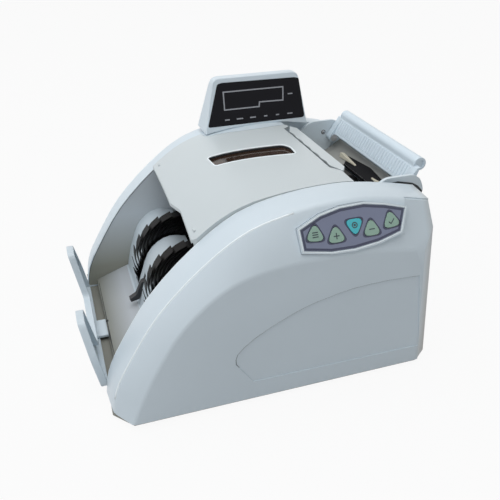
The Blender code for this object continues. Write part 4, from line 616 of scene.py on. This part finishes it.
def flat(name, outlines, face, low, high, material, body):
    """Outlines with a thickness, laid on a face; (low, high) are heights above it."""
    mesh = curve_mesh(name, outlines, True, dimensions="2D", fill_mode="BOTH", extrude=(high - low) / 2)
    mesh.transform(face @ Matrix.Translation((0, 0, (low + high) / 2)))
    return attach(in_scene(name, merged(mesh), material), body)


def bead(name, lines, radius, material, body, closed=False):
    """A thin round bead through points of the scene."""
    mesh = curve_mesh(name, lines, closed, dimensions="3D", bevel_depth=radius, bevel_resolution=2,
                      use_fill_caps=True)
    mesh.shade_smooth()
    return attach(in_scene(name, merged(mesh), material), body)


def box_outline(centre, width, height, turn=0.0):
    """A rectangle, drawn clockwise."""
    spin = Matrix.Rotation(turn, 2)
    corners = [(-1, -1), (-1, 1), (1, 1), (1, -1)]
    return [Vector(centre) + spin @ Vector((x * width / 2, y * height / 2)) for x, y in corners]


def ring_outlines(centre, radius, line):
    """The outer and the inner edge of a ring."""
    turn = 2 * math.pi / RING_SIDES
    round_points = [Vector((math.sin(i * turn), math.cos(i * turn))) for i in range(RING_SIDES)]
    return [[Vector(centre) + point * size for point in round_points]
            for size in (radius + line / 2, radius - line / 2)]


def plus_outline(centre, size, line):
    """A plus sign, drawn clockwise."""
    half = line / 2
    arm = size / 2
    steps = [(-half, arm), (half, arm), (half, half), (arm, half), (arm, -half), (half, -half),
             (half, -arm), (-half, -arm), (-half, -half), (-arm, -half), (-arm, half), (-half, half)]
    return [Vector(centre) + Vector(step) for step in steps]


print("outline helpers ready")

# %% [markdown]
# ## The keypad
# The panel is a printed film: a navy border, a blue-grey field and a dark line round each key. Each key is
# a rounded triangle with a plain symbol. The outline and the places of the keys are shares of the panel's
# size, and a key's place ends with its heading in degrees.

# %% Keypad prints
KEYPAD_LENGTH = 0.094
KEYPAD_HEIGHT = 0.036
KEYPAD_FACE = placed(spot(0.2155, -0.1320, 0.1535), (1, 0, 0), (0, 0.0209, 0.0396))
FIELD_TOP = 0.0011
KEY_TOP = 0.0017
INK = 0.00006
KEY_SIZE = 0.0112
KEY_FILLET = KEY_SIZE * 0.64
SYMBOL_SIZE = 0.0052
SYMBOL_LINE = 0.0009
KEYPAD_OUTLINE_SHARES = [(-0.5, 0.10), (-0.30, 0.335), (-0.11, 0.44), (0.12, 0.455), (0.32, 0.36),
                         (0.51, 0.22), (0.44, -0.28), (0.22, -0.43), (-0.02, -0.50), (-0.24, -0.485),
                         (-0.49, -0.37)]
KEY_PLACE_SHARES = [(-0.372, -0.055, 205), (-0.178, -0.16, 90), (0.006, 0.02, 270), (0.165, -0.135, 90),
                    (0.365, -0.02, 335)]


def on_keypad(share_x, share_y):
    return Vector((share_x * KEYPAD_LENGTH, share_y * KEYPAD_HEIGHT))


def key_outline(place, margin):
    """A rounded triangle, drawn clockwise."""
    corners = []
    for corner in range(3):
        angle = math.radians(place[2]) - corner * 2 * math.pi / 3
        way = Vector((math.cos(angle), math.sin(angle)))
        corners.append(on_keypad(*place[:2]) + way * (KEY_SIZE + margin * 2))
    return filleted(corners, KEY_FILLET, 7)


def symbol_outlines(kind, centre):
    """Plain symbols: bars, a plus, a ring with a dot, a minus and a tick."""
    size = SYMBOL_SIZE
    line = SYMBOL_LINE
    if kind == "bars":
        return [box_outline(centre + Vector((0, (i - 1) * size * 0.36)), size, line) for i in range(3)]
    if kind == "plus":
        return [plus_outline(centre, size, line)]
    if kind == "ring":
        return ring_outlines(centre, size * 0.42, line) + [ring_outlines(centre, size * 0.12, line)[0]]
    if kind == "minus":
        return [box_outline(centre, size, line)]
    knee = centre + Vector((-size * 0.12, -size * 0.30))
    tick = [centre + Vector((-size * 0.5, 0)), knee, centre + Vector((size * 0.5, size * 0.42))]
    return [[*tick, *[point + Vector((0, -line * 1.4)) for point in reversed(tick)]]]


panel = [on_keypad(*share) for share in KEYPAD_OUTLINE_SHARES]
flat("keypad_border", [grown(panel, -0.0003), grown(panel, -0.0022)], KEYPAD_FACE, FIELD_TOP, FIELD_TOP + INK,
     NAVY_FINISH, "housing")
key_rings = []
for place in KEY_PLACE_SHARES:
    key_rings += [key_outline(place, 0.0008), key_outline(place, -0.0001)]
flat("key_surrounds", key_rings, KEYPAD_FACE, FIELD_TOP, FIELD_TOP + INK, NAVY_FINISH, "housing")
for key, place, kind in zip(KEYS, KEY_PLACE_SHARES, ("bars", "plus", "ring", "minus", "tick")):
    outlines = symbol_outlines(kind, on_keypad(*place[:2]))
    flat(key + "_symbol", outlines, KEYPAD_FACE, KEY_TOP, KEY_TOP + INK, SYMBOL_FINISH, key)
print(len(key_rings) // 2, "keys")

# %% [markdown]
# ## The display
# The dark lens leans back. A stepped grey line frames the part that lights up, six short marks stand under
# it and one small mark stands at its right. They are printed on the lens, so they lie just on its face.

# %% Display marks
LENS_LEAN = 0.268
LENS_BASE = 0.171
LENS_FACE = placed(spot(0, 0.0805, LENS_BASE), (1, 0, 0), (0, LENS_LEAN, 1))
LENS_FRONT = 0.0003
UP_THE_LENS = math.hypot(1, LENS_LEAN)
LENS_BORDER = [(0.1490, 0.1780), (0.1636, 0.2207), (0.2556, 0.2196), (0.2592, 0.1786)]
LENS_FILLET = 0.0028
DISPLAY_FRAME = [(0.1686, 0.2126), (0.2373, 0.2124), (0.2361, 0.1976), (0.2091, 0.1981), (0.2083, 0.1935),
                 (0.1683, 0.1935)]
MARK_PLACES = (0.171, 0.185, 0.1997, 0.2143, 0.228, 0.2425)
MARK_WIDTHS = (0.0053, 0.0072, 0.0067, 0.0038, 0.0038, 0.0062)
MARK_HEIGHT = 0.1839
MARK_LINE = 0.0013
SIDE_MARK = (0.2443, 0.2041)
SIDE_MARK_WIDTH = 0.0055


def on_lens(x, z):
    return Vector((x, (z - LENS_BASE) * UP_THE_LENS))


border = filleted([on_lens(*place) for place in LENS_BORDER], LENS_FILLET)
flat("display_border", [border], LENS_FACE, 0, 0.0002, FINISHES["display_glass"], "housing")
frame_line = [on_lens(*place) for place in DISPLAY_FRAME]
marks = [box_outline(on_lens(x, MARK_HEIGHT), width, MARK_LINE) for x, width in zip(MARK_PLACES, MARK_WIDTHS)]
marks.append(box_outline(on_lens(*SIDE_MARK), SIDE_MARK_WIDTH, MARK_LINE))
flat("display_prints", [frame_line, grown(frame_line, -MARK_LINE), *marks], LENS_FACE, LENS_FRONT,
     LENS_FRONT + INK, MARK_FINISH, "housing")
print(len(marks), "marks")

# %% [markdown]
# ## Small details
# The tray's floor has a seam, a sensor hole and a slit. The far hopper wall has a screw, the note support's
# grip has round ends, and black sheets in front of the pick-up rollers show partly rubber pads and partly
# painted shade in the opening.

# %% Tray details
TRAY_FACE = placed(spot(0.012, 0, 0.011), (0, -1, 0), (0.035, 0, 0.0127))
seam = box_outline((-0.0135, 0.0014), 0.135, 0.0005)
hole = box_outline((-0.0045, 0.0013), 0.0034, 0.0028)
slit = box_outline((0.0155, 0.0006), 0.0135, 0.0004, -0.06)
joint_strip = box_outline((0, 0.0385), 0.1825, 0.0060)
flat("tray_joint", [joint_strip], TRAY_FACE, -0.0006, -0.0002, GUIDE_FINISH, "housing")
flat("tray_marks", [seam, hole, slit], TRAY_FACE, INK / 2, INK * 1.5, SHADOW_FINISH, "housing")
print("tray details ready")

# %% Screw heads
SCREW_SIDES = 32
SCREW_PROFILE = ((1, 0), (1, 0.45), (0.86, 0.8), (0.55, 1))


def screw_head(name, centre, out, body, radius, height):
    """A domed head with a cross recess, turned from a short profile."""
    work = bmesh.new()
    turns = [i * 2 * math.pi / SCREW_SIDES for i in range(SCREW_SIDES)]
    rings = []
    for share, lift in SCREW_PROFILE:
        rings.append([work.verts.new((math.cos(turn) * radius * share, math.sin(turn) * radius * share,
                                      height * lift)) for turn in turns])
    for lower, upper in zip(rings, rings[1:]):
        for i in range(SCREW_SIDES):
            after = (i + 1) % SCREW_SIDES
            work.faces.new((lower[i], lower[after], upper[after], upper[i]))
    work.faces.new(rings[-1])
    work.faces.new(rings[0][::-1])
    mesh = bpy.data.meshes.new(name)
    work.to_mesh(mesh)
    work.free()
    mesh.shade_smooth()
    mesh.set_sharp_from_angle(angle=math.radians(40))
    face = placed(centre, (1, 0, 0), Vector(out).cross((1, 0, 0)))
    mesh.transform(face)
    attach(in_scene(name, mesh, FINISHES["steel"]), body)
    cross = plus_outline((0, 0), radius * 1.1, radius * 0.26)
    flat(name + "_recess", [cross], face, height, height + INK, SHADOW_FINISH, body)


print("screw helper ready")

# %% Hopper details
WALL_FOOT = [(0.2880, 0.1295), (0.2985, 0.1500), (0.3050, 0.1520), (0.3050, 0.1455)]
SIDE_FACE = placed(spot(0, 0, 0), (1, 0, 0), (0, 0, 1))
GRIP_CENTRE = (0.3080, 0.1757)
GRIP_END = 0.078
grip_rim, grip_well = ring_outlines(GRIP_CENTRE, 0.0043, 0.0014)
GRIP_PARTS = (("end", [grip_rim], 0.0012, 0.0010), ("rim", [grip_rim, grip_well], 0.0006, 0.0006))
for side, name in ((-1, "near"), (1, "far")):
    low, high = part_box(name + "_hopper_wall")
    flat(name + "_wall_foot", [WALL_FOOT], SIDE_FACE, -high.y, -low.y, WALL_FINISH, "housing")
    for part, outlines, inset, depth in GRIP_PARTS:
        top = -side * (GRIP_END - inset)
        flat(f"{name}_grip_{part}", outlines, SIDE_FACE, top - depth, top, SUPPORT_FINISH, "support")
SCREW = (0.2842, 0.1574)
wall_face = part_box("far_hopper_wall")[0].y
screw_place = spot(SCREW[0], 0, SCREW[1])
screw_place.y = wall_face
screw_head("far_wall_screw", screw_place, (0, -1, 0), "housing", 0.0018, 0.0006)
flat("screw_recess", ring_outlines(SCREW, 0.0021, 0.0010), SIDE_FACE, -wall_face, 0.00005 - wall_face,
     SHADOW_FINISH, "housing")
HOPPER_FACE = placed(spot(0.2895, 0, 0.137), (0, -1, 0), (1, 0, 0.62))
PAD_OUTLINE = [(-0.0360, -0.0010), (-0.0432, 0.0086), (0.0011, 0.0129), (0.0300, 0.0102), (0.0340, -0.0010)]
# black sheets in front of the pick-up rollers: partly the rubber pads, partly painted shade in the opening
flat("pickup_pad_and_shade", [PAD_OUTLINE], HOPPER_FACE, 0, 0.00015, PAD_AND_SHADE_FINISH, "housing")
LIP_FACE = placed(spot(0.2885, 0, 0.1349), (0, -1, 0), (0, 0, 1))
flat("pad_lip_and_shade", [box_outline((0, 0), 0.0718, 0.0029)], LIP_FACE, 0, 0.0001, PAD_AND_SHADE_FINISH, "housing")
WALL_SHADE = [(0.2740, 0.1662), (0.2808, 0.1664), (0.2959, 0.1628), (0.3022, 0.1591), (0.3072, 0.1535),
              (0.3070, 0.1515), (0.3018, 0.1563), (0.2953, 0.1601), (0.2830, 0.1640)]
flat("near_wall_shade", [WALL_SHADE], SIDE_FACE, 0.0879, 0.08795, SHADOW_FINISH, "housing")
print("hopper details ready")

# %% [markdown]
# ## Painted highlights and shade
# Thin whiter beads along the ridges of the side covers, round the keypad and round the window are painted
# highlights, and a dark line along the upper edge of the shallow field in the near cover is painted shade.
# Rays towards the shells find the places of the beads on the side covers and round the window.

# %% Painted highlights on the side covers
RAY_STEPS = 40
RAY_CENTRE = (0.150, 0.010)
RIDGE_Y = 0.1213
EDGE_Y = 0.0925


def ray_tree(piece):
    """A search tree of a piece's faces, to be met by rays."""
    mesh = piece.data
    return BVHTree.FromPolygons([v.co for v in mesh.vertices], [p.vertices for p in mesh.polygons])


def skyline(piece, y, first, last):
    """Where rays towards the machine's middle, in the plane at y, meet a piece; angles start at the front."""
    tree = ray_tree(piece)
    middle = spot(RAY_CENTRE[0], y, RAY_CENTRE[1])
    points = []
    for step in range(RAY_STEPS + 1):
        angle = math.radians(first + (last - first) * step / RAY_STEPS)
        out = Vector((-math.cos(angle), 0, math.sin(angle)))
        points.append((tree.ray_cast(middle + out, -out)[0], out))
    return [(point, out) for point, out in points if point]


def ridge_line(cover, y):
    """The crest of a cover, a little sunk, and sunk deeper over its rear half."""
    crest = skyline(cover, y, 3, 96)
    sinks = [0.0007 + 0.0004 * max(0, i / len(crest) * 2 - 1) for i in range(len(crest))]
    return [point - out * sink for (point, out), sink in zip(crest, sinks)]


for name, side in (("near", -1), ("far", 1)):
    cover = shells[name + "_side_cover"]
    inner = [point - out * 0.0004 for point, out in skyline(cover, side * EDGE_Y, 12, 96)]
    # painted highlight: whiter beads along the ridge and along the inner edge of each side cover
    bead(name + "_ridge_bead", [ridge_line(cover, side * RIDGE_Y)], 0.0011, PALE_AND_HIGHLIGHT_FINISH, "housing")
    bead(name + "_edge_bead", [inner], 0.0006, PALE_AND_HIGHLIGHT_FINISH, "housing")
print("ridge and edge beads ready")

# %% Painted shade on the wall of the bay
WALL_Y = 0.092
WALL_RAY_Y = 0.0923
WALL_FACE = placed((0, WALL_Y, 0), (1, 0, 0), (0, 0, 1))
wall_edge = [point - out * 0.0012 for point, out in skyline(shells["far_side_cover"], WALL_RAY_Y, -2, 80)]
# a sheet on the far cover's inner wall, darker towards the bottom: painted shade
liner = [(place.x, place.z) for place in (*wall_edge, spot(0.115, 0, 0.020), spot(0.012, 0, 0.004))]
flat("bay_wall_shade", [liner], WALL_FACE, 0, 0.0001, BAY_WALL_SHADE_FINISH, "housing")
seam_line = [Vector((point.x, WALL_Y - 0.0001, point.z)) for point in wall_edge]
bead("wall_seam", [seam_line], 0.00025, SHADOW_FINISH, "housing")
print(len(liner), "points round the liner")

# %% Painted highlight round the keypad, and painted shade along the shallow field
keypad_highlight_line = [KEYPAD_FACE @ Vector((*place, 0.00145)) for place in grown(panel, 0.0012)]
# painted highlight: a whiter bead just outside the keypad, where the bezel's rim catches the light
bead("keypad_rim_highlight", [keypad_highlight_line], 0.0004, PALE_AND_HIGHLIGHT_FINISH, "housing", True)
SWOOSH_Y = -0.14165
SWOOSH_LINE = [(0.1115, 0.0395), (0.1090, 0.0432), (0.1088, 0.0486), (0.1105, 0.0538), (0.1170, 0.0605),
               (0.1262, 0.0674), (0.1368, 0.0737), (0.1483, 0.0794), (0.1593, 0.0845), (0.1705, 0.0889),
               (0.1817, 0.0921), (0.1932, 0.0947), (0.2041, 0.0970), (0.2163, 0.0987), (0.2317, 0.0997),
               (0.2481, 0.1000), (0.2637, 0.0995), (0.2791, 0.0986)]
# painted shade: a dark bead where the upper edge of the shallow field steps into the cover
bead("swoosh_edge_shade", [[spot(x, SWOOSH_Y, z) for x, z in SWOOSH_LINE]], 0.0004, FIELD_EDGE_SHADE_FINISH, "housing")
print(len(SWOOSH_LINE), "points along the field's edge")

# %% Painted highlight round the window, and the window liner
SLOT_CORNERS = [(0.2061, 0.0106), (0.2110, 0.0018), (0.2098, -0.0170), (0.1338, -0.0032), (0.1319, 0.0216)]
SLOT_FILLET = 0.004
SLOT_PARTS = 6


def divided(outline, longest, parts):
    """An outline whose long sides are cut into equal parts."""
    result = []
    for here, after in zip(outline, outline[1:] + outline[:1]):
        count = parts if (after - here).length > longest else 1
        result += [here + (after - here) * i / parts for i in range(count)]
    return result


slot = divided(filleted(SLOT_CORNERS, SLOT_FILLET), SLOT_FILLET, SLOT_PARTS)


def on_lid(outline, sink):
    """Points of an outline on the lid's upper face, or under it by a given depth."""
    tree = ray_tree(shells["top_cover"])
    heights = [tree.ray_cast(spot(*wide, 0.3), Vector((0, 0, -1)))[0].z for wide in grown(slot, 0.0015)]
    return [Vector((spot(x, 0, 0).x, y, z - sink)) for (x, y), z in zip(outline, heights)]


def window_liner():
    """The thin dark wall of the slot, from the lid's face down to the window."""
    edge = grown(slot, -0.00005)
    count = len(edge)
    faces = [(i, (i + 1) % count, (i + 1) % count + count, i + count) for i in range(count)]
    mesh = bpy.data.meshes.new("window_liner")
    mesh.from_pydata(on_lid(edge, 0.0005) + on_lid(edge, 0.0024), [], faces)
    piece = in_scene("window_liner", mesh, SHADOW_FINISH)
    wall = piece.modifiers.new("wall", "SOLIDIFY")
    wall.thickness = 0.0001
    wall.offset = -1
    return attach(rounded(piece, 0.00002, 1), "lid")


# painted highlight: a whiter bead round the slot in the lid
bead("window_rim_highlight", [on_lid(grown(slot, 0.0006), 0.0003)], 0.0009, PALE_AND_HIGHLIGHT_FINISH, "lid", True)
print("window liner:", len(window_liner().data.polygons), "faces")

# %% [markdown]
# ## Under the window
# A brown bridge that holds the note sensors lies under the smoky window, with a pale block and a pale
# curved plate on it. They turn with the lid.

# %% Sensor bridge
def sensor_bridge():
    low = spot(0.136, -0.026, 0.150)
    high = spot(0.208, 0.026, 0.158)
    work = bmesh.new()
    bmesh.ops.create_cube(work, size=1)
    mesh = bpy.data.meshes.new("sensor_bridge")
    work.to_mesh(mesh)
    work.free()
    size = high - low
    mesh.transform(Matrix.Translation((low + high) / 2) @ Matrix.Diagonal((*size, 1)))
    bridge = rounded(in_scene("sensor_bridge", mesh, BROWN_FINISH), 0.003, 4)
    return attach(bridge, "lid")


sensor_bridge()
FLOOR_FACE = Matrix.Translation(spot(0, 0, 0))
BLOCK = [(0.1300, 0.0100), (0.1330, 0.0460), (0.1530, 0.0460), (0.1435, 0.0100)]
ARC = [(0.1673, 0.0100), (0.1673, 0.0238), (0.1802, 0.0283), (0.1918, 0.0308), (0.1999, 0.0291),
       (0.2047, 0.0226), (0.2047, 0.0100)]
flat("sensor_block", [BLOCK], FLOOR_FACE, 0.1560, 0.1600, BLOCK_FINISH, "lid")
flat("sensor_arc", [filleted(ARC, 0.008)], FLOOR_FACE, 0.1595, 0.1615, PALE_AND_HIGHLIGHT_FINISH, "lid")
print("sensor bridge ready")

# %% [markdown]
# ## Camera, light and floor
# The camera stands where the photograph was taken: left of the middle and about 30 degrees above the
# machine. Most of the light comes from all round, as in a white tent, and is dimmer and warmer from the
# right. A large soft lamp above gives the upper faces their brightness, and a weak one lights the front
# from the left. The floor is a very pale sheet that keeps a faint shadow under the feet.

# %% Camera
CAMERA_PLACE = spot(-0.0043395, -0.5408638, 0.3892556)
CAMERA_YAW = 0.308058
CAMERA_PITCH = 0.513155
CAMERA_ROLL = -0.0131172
CAMERA_LENS = 44.772
CAMERA_SENSOR = 36


def make_camera():
    right = Vector((math.cos(CAMERA_YAW), -math.sin(CAMERA_YAW), 0))
    level = math.cos(CAMERA_PITCH)
    ahead = Vector((math.sin(CAMERA_YAW) * level, math.cos(CAMERA_YAW) * level, -math.sin(CAMERA_PITCH)))
    up = right.cross(ahead)
    rolled_right = right * math.cos(CAMERA_ROLL) + up * math.sin(CAMERA_ROLL)
    rolled_up = up * math.cos(CAMERA_ROLL) - right * math.sin(CAMERA_ROLL)
    lens = bpy.data.cameras.new("camera")
    lens.lens = CAMERA_LENS
    lens.sensor_width = CAMERA_SENSOR
    camera = bpy.data.objects.new("camera", lens)
    bpy.context.scene.collection.objects.link(camera)
    matrix = Matrix((rolled_right, rolled_up, -ahead)).transposed().to_4x4()
    matrix.translation = CAMERA_PLACE
    camera.matrix_world = matrix
    bpy.context.scene.camera = camera
    return camera


print("camera at", tuple(round(value, 3) for value in make_camera().location))

# %% Light and floor
TENT_STRENGTH = 0.62
TENT_FRONT = (0.95, 0.975, 1.0)
TENT_RIGHT = (0.13, 0.115, 0.09)
TENT_FALL = 1.8
FLOOR_HALF = 6.0
FLOOR_GLOW = 0.93


def seen(tree):
    """1 for rays that show the background to the camera: straight, mirrored or through glass."""
    wire = Wire(tree)
    camera, mirror, through = (wire.node("ShaderNodeLightPath", None, f"Is {kind} Ray")
                               for kind in ("Camera", "Glossy", "Transmission"))
    return camera | mirror | through


def make_world():
    world = bpy.data.worlds.new("studio")
    world.use_nodes = True
    tree = world.node_tree
    light = tree.nodes["Background"]
    light.inputs["Strength"].default_value = TENT_STRENGTH
    ahead = Wire(tree).node("ShaderNodeTexCoord", None, "Generated")
    right = ahead.node("ShaderNodeSeparateXYZ", None, "X", Vector=ahead)
    tree.links.new((right * TENT_FALL).blend(TENT_FRONT, TENT_RIGHT).socket, light.inputs["Color"])
    ray = seen(tree)
    white = Wire(tree).node("ShaderNodeBackground", None, 0, Color=(1, 1, 1, 1), Strength=1.0)
    mixed = ray.node("ShaderNodeMixShader", None, 0, i0=ray, i1=Wire(tree, light.outputs[0]), i2=white)
    tree.links.new(mixed.socket, tree.nodes["World Output"].inputs["Surface"])
    bpy.context.scene.world = world
    bpy.context.scene.view_settings.view_transform = "Standard"


def make_lamp(name, centre, aim, size, power):
    lamp = bpy.data.lights.new(name, "AREA")
    lamp.shape = "RECTANGLE"
    lamp.size, lamp.size_y = size
    lamp.energy = power
    item = bpy.data.objects.new(name, lamp)
    bpy.context.scene.collection.objects.link(item)
    item.location = centre
    item.rotation_euler = (Vector(aim) - Vector(centre)).to_track_quat("-Z", "Y").to_euler()


def make_floor():
    mesh = bpy.data.meshes.new("floor")
    corners = [(x * FLOOR_HALF, y * FLOOR_HALF, 0) for x, y in ((-1, -1), (1, -1), (1, 1), (-1, 1))]
    mesh.from_pydata(corners, [], [(0, 1, 2, 3)])
    material, shader, place = finish_of("floor_finish")
    cloud = place.noise(3.0)
    feed(shader, Base_Color=cloud.blend((0.52, 0.525, 0.53), (0.56, 0.565, 0.57)),
         Roughness=cloud * 0.1 + 0.6)
    tree = material.node_tree
    glow = Wire(tree).node("ShaderNodeEmission", None, 0, Color=(1, 1, 1, 1), Strength=1.0)
    ray = seen(tree) * FLOOR_GLOW
    mixed = ray.node("ShaderNodeMixShader", None, 0, i0=ray, i1=Wire(tree, shader.outputs[0]), i2=glow)
    tree.links.new(mixed.socket, tree.nodes["Material Output"].inputs["Surface"])
    in_scene("floor", mesh, material)


make_world()
make_lamp("overhead", (-0.1, 0.0, 1.5), (0, 0, 0.1), (1.6, 1.6), 13.0)
make_lamp("left", (-1.6, 0.1, 0.9), (0, 0, 0.1), (1.0, 1.0), 2.0)
make_floor()
print("studio ready")
